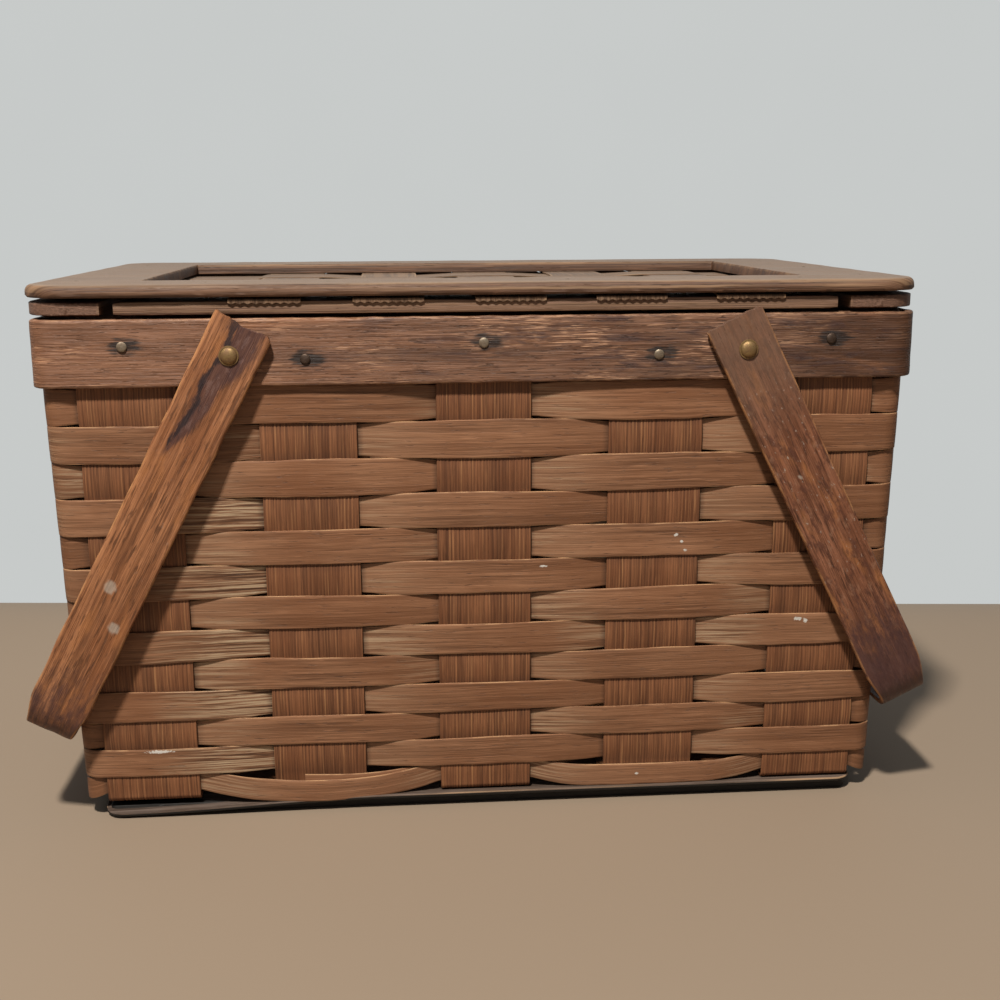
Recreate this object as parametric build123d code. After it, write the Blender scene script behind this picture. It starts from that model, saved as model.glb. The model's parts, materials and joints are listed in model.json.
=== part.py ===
"""Splint picnic basket with a hinged lid and two swinging bentwood handles.

Millimetres. Origin under the middle of the basket, on the surface it stands on.
+X runs along the length to the right, +Y to the back, +Z up.
"""

import os
from math import asin, atan, atan2, cos, degrees, hypot, pi, radians, sin, tan

from build123d import *

# Body of the basket
basket_length = 448.0
basket_depth = 292.0
rim_top = 266.0
rim_height = 34.0
rim_corner_radius = 13.0
outer_band_thick = 4.4
inner_band_thick = 2.6
scarf_length = 46.0
scarf_cut = 0.3
wall_lean = 0.0271

# Stakes, which run down one wall, across the bottom and up the opposite wall
stake_width = 49.0
stake_thick = 1.5
front_stakes = 5
end_stakes = 3
front_corner_space = 46.4
end_corner_space = 57.2
stake_bend_radius = 3.0
stake_top_drop = 1.0
stake_shoulder = 6.0

# Weavers, one ring to a row, each row a little narrower than the one above
weaver_rows = 13
top_row_pitch = 19.4
weaver_thick = 1.2
weaver_corner_radius = 7.0
row_gap = 0.4
bottom_row_width = 12.2
bottom_row_lift = 4.6
corner_margin = 5.5

# Bottom board and runners
runner_height = 5.5
runner_width = 20.0
runner_end_radius = 4.0
runner_set_back = 5.0
runner_end_set_back = 2.5
board_thick = 2.5
board_end_set_back = 19.5
board_corner_radius = 10.0
board_front_ledge = 3.0

# Handles: a flat strip bent to a U, riveted outside the rim
handle_width = 31.0
handle_thick = 4.0
handle_bend_radius = 18.0
handle_tail = 17.5
grip_width = 26.0
pivot_drop = 18.0
left_pivot_inset = 98.5
left_reach = 223.0
right_pivot_inset = 90.5
right_reach = 216.0
rivet_radius = 2.5
rivet_head_radius = 5.0
rivet_head_height = 2.3
rivet_head_taper = 40.0
rivet_tail_radius = 3.8
rivet_tail_height = 1.3
rivet_tail_taper = 30.0
washer_radius = 8.0
washer_thick = 0.8

# Lid: a window frame over five strips, with splints woven across between them
lid_end_overhang = 3.5
lid_edge_set_back = 0.4
lid_corner_radius = 24.0
lid_top_thick = 6.4
lid_edge_ease = 1.6
lid_rim_gap = 1.5
lid_frame_end = 53.5
lid_frame_side = 45.1
window_corner_radius = 1.0
strip_thick = 6.4
strip_width = 38.0
strip_set_back = 3.1
strip_end_gap = 6.8
side_strip_set_back = 1.5
splint_thick = 1.0
cross_splints = 5
cross_splint_width = 36.0
cross_splint_space = 52.0
cross_splint_shift = 14.0
long_splints = 4
long_splint_width = 36.0
long_splint_set_back = 2.5
splint_ramp = 4.0
tab_drop = 3.6
scallops = 8
scallop_depth = 0.65

# Butt hinges at the back
hinge_spread = 60.0
hinge_length = 40.0
hinge_sheet = 1.1
hinge_barrel_radius = 3.0
hinge_pin_radius = 1.2
rim_leaf_height = 22.0
lid_leaf_depth = 20.0
pin_overhang = 0.5
leaf_clearance = 0.1
rim_screw_drop = 14.5
lid_screw_inset = 13.5
screw_spread = 20.0

# Nails, brads and screws
nail_head_radius = 2.6
nail_head_height = 0.7
nail_shank = 1.8
nail_stagger = 3.5
head_facets = 8
round_facets = 12
brad_size = 1.6
brad_bury = 1.2
end_brad_inset = 43.6
screw_head_radius = 2.2
screw_head_height = 0.6
screw_shank = 2.0
screw_length = 5.0

# Clearances
fit_gap = 0.05
weave_gap = 0.3
pin_gap = 0.05
run_gap = 0.3

# How far a cutter runs past what it cuts
spare = 1.0

# Worked out from the sizes above
rim_bottom = rim_top - rim_height
front_pitch = (basket_length - 2 * front_corner_space) / (front_stakes - 1)
end_pitch = (basket_depth - 2 * end_corner_space) / (end_stakes - 1)
board_length = basket_length - 2 * board_end_set_back
left_pivot = basket_length / 2 - left_pivot_inset
right_pivot = basket_length / 2 - right_pivot_inset
lid_length = basket_length + 2 * lid_end_overhang
lid_depth = basket_depth - 2 * lid_edge_set_back
window_length = lid_length - 2 * lid_frame_end
window_depth = lid_depth - 2 * lid_frame_side
long_splint_pitch = window_depth / long_splints
cross_splint_pitch = (window_length - 2 * cross_splint_space) / (cross_splints - 1)
board_top = runner_height + board_thick
layer_low = board_top + fit_gap + stake_thick / 2
layer_high = layer_low + stake_thick + 2 * fit_gap
band_line = outer_band_thick + fit_gap + stake_thick / 2
weave_side = stake_thick / 2 + weave_gap + weaver_thick / 2
weave_foot = board_top + run_gap
row_steps = weaver_rows * (weaver_rows - 1) / 2
row_narrowing = (weaver_rows * top_row_pitch - rim_bottom + weave_foot) / row_steps
pivot_z = rim_top - pivot_drop
arm_inner = basket_depth / 2 + washer_thick + fit_gap * 3
arm_outer = arm_inner + handle_thick
strip_z = rim_top + lid_rim_gap
splint_z = strip_z + strip_thick
splint_low = splint_z + fit_gap + splint_thick / 2
splint_high = splint_low + splint_thick + 2 * fit_gap
lid_top_z = splint_z + 2 * splint_thick + 4 * fit_gap
lid_surface = lid_top_z + lid_top_thick
hinge_y = basket_depth / 2 + leaf_clearance + hinge_barrel_radius
hinge_z = strip_z - leaf_clearance - hinge_barrel_radius


def half_length(z):
    """Distance from the middle to the stakes of the end walls at a height."""
    return basket_length / 2 - band_line - wall_lean * max(0.0, rim_bottom - z)


def half_depth(z):
    """Distance from the middle to the stakes of the front and back walls at a height."""
    return basket_depth / 2 - band_line - wall_lean * max(0.0, rim_bottom - z)


def places(count, pitch):
    """Evenly spaced places about zero."""
    return [(i - (count - 1) / 2) * pitch for i in range(count)]


def rounded(points, radius, corners, steps=3):
    """A polyline with the named corners turned into short chords of an arc."""
    path = []
    for i, point in enumerate(points):
        if i not in corners:
            path.append(point)
            continue
        before, after = points[i - 1], points[(i + 1) % len(points)]
        into = (Vector(*point) - Vector(*before)).normalized()
        out = (Vector(*after) - Vector(*point)).normalized()
        turn = radians(into.get_angle(out))
        setback = radius * tan(turn / 2)
        centre = Vector(*point) + (out - into).normalized() * (radius / cos(turn / 2))
        first = Vector(*point) - into * setback - centre
        side = into * radius
        for step in range(steps + 1):
            angle = turn * step / steps
            spot = centre + first * cos(angle) + side * sin(angle)
            path.append((spot.X, spot.Y))
    return path


def shifted(points, distance, closed):
    """The polyline moved sideways by a distance, to the right of its direction."""
    count = len(points)
    moved = []
    for i, (x, y) in enumerate(points):
        normals = []
        for a, b in ((i - 1, i), (i, i + 1)):
            if not closed and (a < 0 or b >= count):
                continue
            ax, ay = points[a % count]
            bx, by = points[b % count]
            length = hypot(bx - ax, by - ay)
            normals.append(((by - ay) / length, -(bx - ax) / length))
        if len(normals) == 1:
            nx, ny = normals[0]
            stretch = 1.0
        else:
            nx, ny = normals[0][0] + normals[1][0], normals[0][1] + normals[1][1]
            stretch = 2 / (nx * nx + ny * ny)
        moved.append((x + nx * distance * stretch, y + ny * distance * stretch))
    return moved


def ribbon(points, thick, width, plane):
    """A strip of even thickness along a path drawn in a plane, extruded both ways."""
    left = shifted(points, thick / 2, False)
    right = shifted(points, -thick / 2, False)
    outline = [plane.from_local_coords((u, v, 0)) for u, v in left + right[::-1]]
    face = Face(Wire.make_polygon(outline))
    return extrude(face, amount=width / 2, both=True)


def rounded_plate(length, depth, thick, radius, z):
    """A flat rounded plate about the middle, with its underside at a height."""
    plate = extrude(RectangleRounded(length, depth, radius), amount=thick)
    return Pos(0, 0, z) * plate


def scarf(band_thick):
    """A thin slanting cut through a band along X, where its two tapered ends lie together."""
    slant = degrees(atan(band_thick / scarf_length))
    cut = Box(2 * scarf_length, scarf_cut, 2 * rim_height)
    return Pos(0, 0, rim_bottom + rim_height / 2) * Rot(0, 0, slant) * cut


def rim_band_outer():
    """The band outside the stake tops, one strip bent round and scarfed at the back."""
    inside_radius = rim_corner_radius - outer_band_thick
    inner_length = basket_length - 2 * outer_band_thick
    inner_depth = basket_depth - 2 * outer_band_thick
    band = rounded_plate(basket_length, basket_depth, rim_height, rim_corner_radius, rim_bottom)
    band -= rounded_plate(inner_length, inner_depth, rim_height, inside_radius, rim_bottom)
    return band - Pos(0, (basket_depth - outer_band_thick) / 2, 0) * scarf(outer_band_thick)


def rim_band_inner():
    """The thinner band inside the stake tops, scarfed at the right-hand end."""
    inset = band_line + stake_thick / 2 + fit_gap
    length = basket_length - 2 * inset
    depth = basket_depth - 2 * inset
    radius = rim_corner_radius - outer_band_thick
    band = rounded_plate(length, depth, rim_height, radius, rim_bottom)
    band -= rounded_plate(
        length - 2 * inner_band_thick,
        depth - 2 * inner_band_thick,
        rim_height,
        radius - inner_band_thick,
        rim_bottom,
    )
    joint = Pos((length - inner_band_thick) / 2, 0, 0) * Rot(0, 0, 90) * scarf(inner_band_thick)
    return band - joint


def row_top(row):
    """Height of the line between a row and the one above it."""
    return rim_bottom - row * top_row_pitch + row_narrowing * row * (row - 1) / 2


def weaver_path(row):
    """The middle line of a weaver, in and out of the sixteen uprights, seen from above."""
    z = (row_top(row) + row_top(row + 1)) / 2
    length, depth = half_length(z), half_depth(z)
    sides = (
        ((1, 0), depth, length, places(front_stakes, front_pitch)),
        ((0, 1), length, depth, places(end_stakes, end_pitch)),
        ((-1, 0), depth, length, places(front_stakes, front_pitch)),
        ((0, -1), length, depth, places(end_stakes, end_pitch)),
    )
    flat = stake_width / 2 + stake_thick
    runs = []
    upright = 0
    for along, out_distance, span, middles in sides:
        outward = (along[1], -along[0])
        run = []
        for middle in middles:
            side = 1 if (upright + row) % 2 else -1
            off = out_distance + side * weave_side
            for s in (middle - flat, middle + flat):
                run.append((along[0] * s + outward[0] * off, along[1] * s + outward[1] * off))
            upright += 1
        runs.append((along, outward, run))
    path = []
    corners = []
    for i, (along, outward, run) in enumerate(runs):
        path += run
        next_run = runs[(i + 1) % 4][2]
        off = run[-1][0] * outward[0] + run[-1][1] * outward[1]
        reach = next_run[0][0] * along[0] + next_run[0][1] * along[1]
        corners.append(len(path))
        path.append((along[0] * reach + outward[0] * off, along[1] * reach + outward[1] * off))
    return rounded(path, weaver_corner_radius, corners, 2)


def weaver_ring(path, low, high):
    """A closed band of one splint along a path."""
    outer = shifted(path, weaver_thick / 2, True)
    inner = shifted(path, -weaver_thick / 2, True)
    face = Face(
        Wire.make_polygon([(x, y, low) for x, y in outer]),
        [Wire.make_polygon([(x, y, low) for x, y in inner])],
    )
    return extrude(face, amount=high - low, dir=(0, 0, 1))


def weaver(row):
    """One row of the wall."""
    high = row_top(row) - row_gap / 2
    low = row_top(row + 1) + row_gap / 2
    return weaver_ring(weaver_path(row), low, high)


def wave(middles, first_inside, end):
    """The lower edge of the bottom row, low outside a stake and lifted inside one."""
    flat = stake_width / 2 + stake_thick
    edge = [(-end, weave_foot + bottom_row_lift / 2)]
    for i, middle in enumerate(middles):
        inside = (i % 2 == 0) == first_inside
        z = weave_foot + (bottom_row_lift if inside else 0)
        edge += [(middle - flat, z), (middle + flat, z)]
    return edge + [(end, weave_foot + bottom_row_lift / 2)]


def bottom_weaver():
    """The last row, squeezed up over the bottom splints where it passes inside."""
    row = weaver_rows - 1
    high = weave_foot + bottom_row_lift + bottom_row_width
    ring = weaver_ring(weaver_path(row), weave_foot, high)
    first_inside = row % 2 == 0
    front_end = half_length(0) - corner_margin
    side_end = half_depth(0) - corner_margin
    front = wave(places(front_stakes, front_pitch), first_inside, front_end)
    side = wave(places(end_stakes, end_pitch), not first_inside, side_end)
    for edge, end, plane in ((front, front_end, Plane.XZ), (side, side_end, Plane.YZ)):
        under = edge + [(end, weave_foot - spare), (-end, weave_foot - spare)]
        over = [(u, v + bottom_row_width) for u, v in edge]
        over += [(end, high + spare), (-end, high + spare)]
        for outline in (under, over):
            corners = [plane.from_local_coords((u, v, 0)) for u, v in outline]
            ring -= extrude(Face(Wire.make_polygon(corners)), amount=basket_length, both=True)
    sides = Box(2 * front_end, basket_depth, 4 * high) + Box(basket_length, 2 * side_end, 4 * high)
    level = weave_foot + (bottom_row_lift + bottom_row_width) / 2
    corners = Pos(0, 0, level) * Box(basket_length, basket_depth, bottom_row_width) - sides
    return (ring & sides) + (ring & corners)


def cross_stake(index):
    """A stake down the front, under the bottom weave and up the back."""
    middles = places(end_stakes, end_pitch)
    flat = stake_width / 2 + stake_thick
    bottom = []
    for j, y in enumerate(middles):
        lifted = (index + j) % 2 == 1
        z = layer_high if lifted else layer_low
        bottom += [(y - flat, z), (y + flat, z)]
    shoulder = middles[-1] + flat + stake_shoulder
    foot = half_depth(layer_low)
    top = (half_depth(rim_top), rim_top - stake_top_drop)
    bend = (half_depth(rim_bottom), rim_bottom)
    path = [(-top[0], top[1]), (-bend[0], bend[1]), (-foot, layer_low), (-shoulder, layer_low)]
    path += bottom
    path += [(shoulder, layer_low), (foot, layer_low), bend, top]
    path = rounded(path, stake_bend_radius, (2, len(path) - 3))
    x = places(front_stakes, front_pitch)[index]
    return Pos(x, 0, 0) * ribbon(path, stake_thick, stake_width, Plane.YZ)


def long_stake(index):
    """A stake down the left end, along the bottom weave and up the right end."""
    middles = places(front_stakes, front_pitch)
    flat = stake_width / 2 + stake_thick
    bottom = []
    for i, x in enumerate(middles):
        lifted = (i + index) % 2 == 0
        z = layer_high if lifted else layer_low
        bottom += [(x - flat, z), (x + flat, z)]
    z_end = bottom[0][1]
    foot = half_length(z_end)
    top = (half_length(rim_top), rim_top - stake_top_drop)
    bend = (half_length(rim_bottom), rim_bottom)
    path = [(-top[0], top[1]), (-bend[0], bend[1]), (-foot, z_end)]
    path += bottom[1:-1]
    path += [(foot, z_end), bend, top]
    path = rounded(path, stake_bend_radius, (2, len(path) - 3))
    y = places(end_stakes, end_pitch)[index]
    return Pos(0, y, 0) * ribbon(path, stake_thick, stake_width, Plane.XZ)


def nail(length):
    """A nail with a faceted head, driven downwards, its head seated at height zero."""
    head = extrude(RegularPolygon(nail_head_radius, head_facets), amount=nail_head_height)
    shank = extrude(Rectangle(nail_shank, nail_shank), amount=-length)
    return head + shank


def brad(length):
    """A headless cut brad, flush with the surface it is driven into."""
    return extrude(Rectangle(brad_size, brad_size), amount=-length)


def rim_nails():
    """One nail through the bands and each stake top, staggered up and down."""
    middle = rim_bottom + rim_height / 2
    through = outer_band_thick + stake_thick + inner_band_thick
    driven = nail(through)
    nails = []
    for i, x in enumerate(places(front_stakes, front_pitch)):
        z = middle + (nail_stagger if i % 2 == 0 else -nail_stagger)
        nails.append(Pos(x, -basket_depth / 2, z) * Rot(90, 0, 0) * driven)
        nails.append(Pos(x, basket_depth / 2, z) * Rot(-90, 0, 0) * driven)
    for i, y in enumerate(places(end_stakes, end_pitch)):
        z = middle + (nail_stagger if i % 2 == 0 else -nail_stagger)
        nails.append(Pos(-basket_length / 2, y, z) * Rot(0, -90, 0) * driven)
        nails.append(Pos(basket_length / 2, y, z) * Rot(0, 90, 0) * driven)
    return Compound(children=nails)


def board_half_depth():
    """The board stands a little way out in front of the stakes."""
    return half_depth(board_top) + stake_thick / 2 + board_front_ledge


def bottom_board():
    """The thin board that the woven bottom is nailed down to."""
    return rounded_plate(
        board_length, 2 * board_half_depth(), board_thick, board_corner_radius, runner_height
    )


def runner_line():
    """Distance from the middle to a runner's middle line."""
    return board_half_depth() - runner_set_back - runner_width / 2


def runner(side):
    """A lengthwise runner under the board, on which the basket stands."""
    length = board_length - 2 * runner_end_set_back
    bar = rounded_plate(length, runner_width, runner_height, runner_end_radius, 0)
    return Pos(0, side * runner_line(), 0) * bar


def bottom_brads():
    """Brads through each cross stake and the board into the runners."""
    top = layer_low + stake_thick / 2
    driven = brad(top - brad_bury)
    spots = [(x, s * runner_line()) for x in places(front_stakes, front_pitch) for s in (-1, 1)]
    return Compound(children=[Pos(x, y, top) * driven for x, y in spots])


def hang_angle(pivot, reach):
    """How far from upright a handle hangs when its grip rests on the end wall."""
    arm = reach - handle_thick
    across = grip_width / 2
    angle = pi / 6
    for _ in range(4):
        z = pivot_z - arm * cos(angle) - across * sin(angle)
        wall = half_length(z) + weave_side + weaver_thick / 2 + run_gap
        angle = asin((wall - pivot) / hypot(arm, across)) + atan2(across, arm)
    return degrees(angle)


def lean_in_angle(pivot, reach):
    """How far past upright a raised handle leans before it meets the other one."""
    middle = (left_pivot + right_pivot) / 2 - run_gap
    across = handle_width / 2
    return degrees(asin(middle / hypot(reach, across)) - atan2(across, reach))


def handle(side, pivot, reach):
    """A bent strip whose two arms and grip are one piece, with a rivet hole in each arm."""
    outline = Rectangle(2 * arm_outer, reach + handle_tail)
    outline = fillet(outline.vertices().group_by(Axis.Y)[0], handle_bend_radius)
    hollow = Rectangle(2 * arm_inner, reach + handle_tail - handle_thick)
    hollow = fillet(hollow.vertices().group_by(Axis.Y)[0], handle_bend_radius - handle_thick)
    outline = Pos(0, (handle_tail - reach) / 2) * outline
    hollow = Pos(0, (handle_tail - reach + handle_thick) / 2) * hollow
    strip = extrude(Plane.YZ * (outline - hollow), amount=handle_width / 2, both=True)
    half_grip, half_strip = grip_width / 2, handle_width / 2
    flare = arm_outer - handle_bend_radius
    waist = Polygon(
        (half_strip, -arm_inner),
        (half_strip + spare, -arm_inner),
        (half_strip + spare, arm_inner),
        (half_strip, arm_inner),
        (half_grip, flare),
        (half_grip, -flare),
        align=None,
    )
    waist = Pos(0, 0, -reach - spare) * extrude(waist, amount=2 * handle_bend_radius)
    strip -= waist
    strip -= mirror(waist, about=Plane.YZ)
    strip -= Rot(90, 0, 0) * Cylinder(rivet_radius + pin_gap, 2 * (arm_outer + spare))
    swing = hang_angle(pivot, reach)
    return Pos(side * pivot, 0, pivot_z) * Rot(0, -side * swing, 0) * strip


def rivet_foot():
    """Distance from the middle to the inner band's inner face, which the rivets end on."""
    return basket_depth / 2 - band_line - stake_thick / 2 - fit_gap - inner_band_thick


def rivet():
    """A rivet along +Z with a faceted dome and a clenched tail, height zero at its foot."""
    seat = arm_outer + 3 * fit_gap - rivet_foot()
    shank = extrude(Circle(rivet_radius), amount=seat + rivet_head_height / 2)
    dome = RegularPolygon(rivet_head_radius, round_facets)
    head = Pos(0, 0, seat) * extrude(dome, amount=rivet_head_height, taper=rivet_head_taper)
    end = RegularPolygon(rivet_tail_radius, round_facets)
    tail = extrude(end, amount=-rivet_tail_height, taper=rivet_tail_taper)
    return shank + head + tail


def pivots():
    """The four rivet places as (x, turn about X) with the turn pointing +Z outwards."""
    return [(x, turn) for x in (-left_pivot, right_pivot) for turn in (90, -90)]


def at_pivots(piece, out):
    """Copies of a piece at the four pivots, a distance out from the middle plane."""
    copies = []
    for x, turn in pivots():
        copies.append(Pos(x, 0, pivot_z) * Rot(turn, 0, 0) * Pos(0, 0, out) * piece)
    return Compound(children=copies)


def handle_rivets():
    """The rivets that the handles swing on."""
    return at_pivots(rivet(), rivet_foot())


def pivot_washers():
    """Washers on the rivets, between the rim and the arms."""
    ring = RegularPolygon(washer_radius, round_facets) - Circle(rivet_radius + pin_gap)
    return at_pivots(extrude(ring, amount=washer_thick), basket_depth / 2)


def lid_top():
    """The lid's top board, with its upper outer edge eased and a window cut in it."""
    plate = rounded_plate(lid_length, lid_depth, lid_top_thick, lid_corner_radius, lid_top_z)
    plate = chamfer(plate.edges().group_by(Axis.Z)[-1], lid_edge_ease)
    low = lid_top_z - spare
    high = lid_surface + spare
    window = rounded_plate(window_length, window_depth, high - low, window_corner_radius, low)
    return plate - window


def strip_outline():
    """The strips' common outer edge, set back under the lid's top board."""
    length = lid_length - 2 * side_strip_set_back
    depth = lid_depth - 2 * strip_set_back
    return rounded_plate(length, depth, strip_thick, lid_corner_radius - strip_set_back, strip_z)


def side_strip_inner():
    """Distance from the middle to a side strip's inner edge."""
    return lid_length / 2 - side_strip_set_back - strip_width


def side_strip(side):
    """A strip under one end of the lid, with its outer corners rounded."""
    keep = Box(strip_width, lid_depth, 4 * strip_thick)
    x = side * (side_strip_inner() + strip_width / 2)
    return strip_outline() & (Pos(x, 0, strip_z) * keep)


def strip_edge():
    """Distance from the middle to the front and back strips' outer edges."""
    return lid_depth / 2 - strip_set_back


def long_strip(side):
    """A strip under the front or back edge, between the two side strips."""
    length = 2 * (side_strip_inner() - strip_end_gap)
    y = side * (strip_edge() - strip_width / 2)
    return Pos(0, y, strip_z + strip_thick / 2) * Box(length, strip_width, strip_thick)


def cross_places():
    """The cross splints' places along the lid, not quite centred in its window."""
    return [x + cross_splint_shift for x in places(cross_splints, cross_splint_pitch)]


def cross_splint(index):
    """A splint across the lid, bent down in front with its end pinked into scallops."""
    flat = long_splint_width / 2 + splint_thick
    tab = strip_edge() + fit_gap * 2 + splint_thick / 2
    foot = lid_top_z - tab_drop
    path = [(-tab, foot), (-tab, splint_low)]
    for j, y in enumerate(places(long_splints, long_splint_pitch)):
        z = splint_high if (index + j) % 2 == 0 else splint_low
        path += [(y - flat, z), (y + flat, z)]
    path += [(window_depth / 2, splint_low), (strip_edge(), splint_low)]
    x = cross_places()[index]
    strip = Pos(x, 0, 0) * ribbon(path, splint_thick, cross_splint_width, Plane.YZ)
    return strip - scallop_cutter(x, foot)


def scallop_cutter(x, foot):
    """What lies between the scallops, run through the bent-down end."""
    left = x - cross_splint_width / 2
    step = cross_splint_width / scallops
    high = foot + scallop_depth
    edge = [(left, high)]
    for i in range(scallops):
        start = left + i * step
        edge += [(start + step / 3, foot), (start + step * 2 / 3, foot), (start + step, high)]
    low = foot - spare
    edge += [(left + cross_splint_width + spare, low), (left - spare, low)]
    return extrude(Plane.XZ * make_face(Polyline(*edge, close=True)), amount=lid_depth, both=True)


def long_splint(index):
    """A splint along the lid, over and under the cross splints."""
    flat = cross_splint_width / 2 + splint_thick
    end = lid_length / 2 - long_splint_set_back
    path = [(-end, splint_low)]
    for i, x in enumerate(cross_places()):
        z = splint_low if (index + i) % 2 == 0 else splint_high
        path += [(x - flat, z), (x + flat, z)]
    if path[1][1] == splint_high:
        path.insert(1, (path[1][0] - splint_ramp, splint_low))
    if path[-1][1] == splint_high:
        path.append((path[-1][0] + splint_ramp, splint_low))
    path.append((end, splint_low))
    y = places(long_splints, long_splint_pitch)[index]
    return Pos(0, y, 0) * ribbon(path, splint_thick, long_splint_width, Plane.XZ)


def lid_brads():
    """Brads from the lid's top board into the strips, clear of the splints."""
    driven = brad(lid_surface - strip_z - brad_bury)
    gaps = [x + cross_splint_pitch / 2 for x in cross_places()]
    gaps = [gaps[0] - cross_splint_pitch] + gaps
    front = strip_edge() - strip_width / 2
    spots = [(x, s * front) for x in gaps for s in (-1, 1)]
    end = side_strip_inner() + strip_width / 2
    spread = lid_depth / 2 - end_brad_inset
    spots += [(s * end, y) for s in (-1, 1) for y in (-spread, 0, spread)]
    return Compound(children=[Pos(x, y, lid_surface) * driven for x, y in spots])


def barrel(low, high):
    """A stretch of hinge barrel along X."""
    tube = extrude(Plane.YZ * RegularPolygon(hinge_barrel_radius, round_facets), amount=high - low)
    return Pos(low, hinge_y, hinge_z) * tube


def knuckle_joint():
    """Half the length of the middle knuckle, with half a running gap taken off."""
    return (hinge_length / 3 - run_gap) / 2


def hinge_rod(radius, length):
    """A round bar on the hinge's axis."""
    return Pos(0, hinge_y, hinge_z) * Rot(0, 90, 0) * Cylinder(radius, length)


def rim_leaf():
    """The leaf screwed to the back of the rim, with the two outer knuckles."""
    face = basket_depth / 2 + fit_gap
    leaf = Box(hinge_length, hinge_sheet, rim_leaf_height)
    leaf = Pos(0, face + hinge_sheet / 2, hinge_z - rim_leaf_height / 2) * leaf
    inside = knuckle_joint() + run_gap
    leaf += barrel(-hinge_length / 2, hinge_length / 2)
    room = hinge_barrel_radius + run_gap
    notch = Box(2 * inside, 4 * room, 2 * room)
    leaf -= Pos(0, hinge_y, hinge_z) * notch
    return leaf - hinge_rod(hinge_pin_radius + pin_gap, 2 * hinge_length)


def lid_leaf():
    """The leaf screwed under the lid's back strip, with the middle knuckle."""
    inside = knuckle_joint()
    top = hinge_z + hinge_barrel_radius
    depth = hinge_barrel_radius + lid_leaf_depth
    leaf = Pos(0, hinge_y - depth / 2, top - hinge_sheet / 2) * Box(hinge_length, depth, hinge_sheet)
    room = hinge_barrel_radius + run_gap
    for side in (-1, 1):
        notch = Box(hinge_length, 2 * room, 2 * room)
        leaf -= Pos(side * (inside + hinge_length / 2), hinge_y, hinge_z) * notch
    leaf += barrel(-inside, inside)
    return leaf - hinge_rod(hinge_pin_radius + pin_gap, 2 * hinge_length)


def hinge_pin():
    """The pin, a little longer than the barrel."""
    return hinge_rod(hinge_pin_radius, hinge_length + 2 * pin_overhang)


def screw():
    """A small wood screw driven downwards, with its head seated at height zero."""
    head = extrude(RegularPolygon(screw_head_radius, head_facets), amount=screw_head_height)
    return head + extrude(Rectangle(screw_shank, screw_shank), amount=-screw_length)


def rim_screws(x):
    """Two screws through a rim leaf into the band."""
    face = basket_depth / 2 + fit_gap + hinge_sheet
    z = hinge_z - rim_screw_drop
    spots = [x - screw_spread / 2, x + screw_spread / 2]
    return [Pos(s, face, z) * Rot(-90, 0, 0) * screw() for s in spots]


def lid_screws(x):
    """Two flush screws up through a lid leaf into the strip."""
    bottom = hinge_z + hinge_barrel_radius - hinge_sheet
    y = hinge_y - hinge_barrel_radius - lid_screw_inset
    spots = [x - screw_spread / 2, x + screw_spread / 2]
    head = extrude(RegularPolygon(screw_head_radius, head_facets), amount=hinge_sheet)
    flush = head + extrude(Rectangle(screw_shank, screw_shank), amount=hinge_sheet + screw_length)
    return [Pos(s, y, bottom) * flush for s in spots]


def build():
    """Every piece of the basket by name."""
    pieces = {
        "rim_band_outer": rim_band_outer(),
        "rim_band_inner": rim_band_inner(),
        "rim_nails": rim_nails(),
        "bottom_board": bottom_board(),
        "runner_front": runner(-1),
        "runner_back": runner(1),
        "bottom_brads": bottom_brads(),
        "handle_left": handle(-1, left_pivot, left_reach),
        "handle_right": handle(1, right_pivot, right_reach),
        "handle_rivets": handle_rivets(),
        "pivot_washers": pivot_washers(),
        "lid_top": lid_top(),
        "lid_strip_front": long_strip(-1),
        "lid_strip_back": long_strip(1),
        "lid_strip_left": side_strip(-1),
        "lid_strip_right": side_strip(1),
        "lid_brads": lid_brads(),
    }
    for row in range(weaver_rows - 1):
        pieces[f"weaver_{row + 1:02d}"] = weaver(row)
    pieces[f"weaver_{weaver_rows:02d}"] = bottom_weaver()
    for i in range(front_stakes):
        pieces[f"stake_cross_{i + 1}"] = cross_stake(i)
    for i in range(end_stakes):
        pieces[f"stake_long_{i + 1}"] = long_stake(i)
    for i in range(cross_splints):
        pieces[f"lid_splint_cross_{i + 1}"] = cross_splint(i)
    for i in range(long_splints):
        pieces[f"lid_splint_long_{i + 1}"] = long_splint(i)
    for name, x in (("left", -hinge_spread), ("right", hinge_spread)):
        pieces[f"hinge_leaf_rim_{name}"] = Pos(x, 0, 0) * rim_leaf()
        pieces[f"hinge_leaf_lid_{name}"] = Pos(x, 0, 0) * lid_leaf()
    both = (-hinge_spread, hinge_spread)
    pieces["hinge_pins"] = Compound(children=[Pos(x, 0, 0) * hinge_pin() for x in both])
    pieces["hinge_screws_rim"] = Compound(children=[s for x in both for s in rim_screws(x)])
    pieces["hinge_screws_lid"] = Compound(children=[s for x in both for s in lid_screws(x)])
    return pieces


def main():
    os.makedirs("parts", exist_ok=True)
    for name, piece in build().items():
        export_step(piece, f"parts/{name}.step")
    print("hinge axis y %.3f z %.3f" % (hinge_y, hinge_z))
    for name, pivot, reach in (("left", left_pivot, left_reach), ("right", right_pivot, right_reach)):
        hang, lean = hang_angle(pivot, reach), lean_in_angle(pivot, reach)
        print("handle_%s pivot %.3f z %.3f travel %.3f" % (name, pivot, pivot_z, 180 - hang + lean))


main()
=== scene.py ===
"""Splint picnic basket with a hinged lid and two bentwood handles, finished round its frame.

Metres, +Z up, the front towards -Y. Every piece takes its place from the frame.
"""

import json
from contextlib import contextmanager
from math import acos, atan2, ceil, cos, hypot, pi, radians, sin

import bmesh
import bpy
import numpy as np
from bpy.props import FloatProperty, FloatVectorProperty, IntProperty, PointerProperty
from mathutils import Matrix, Vector

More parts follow.
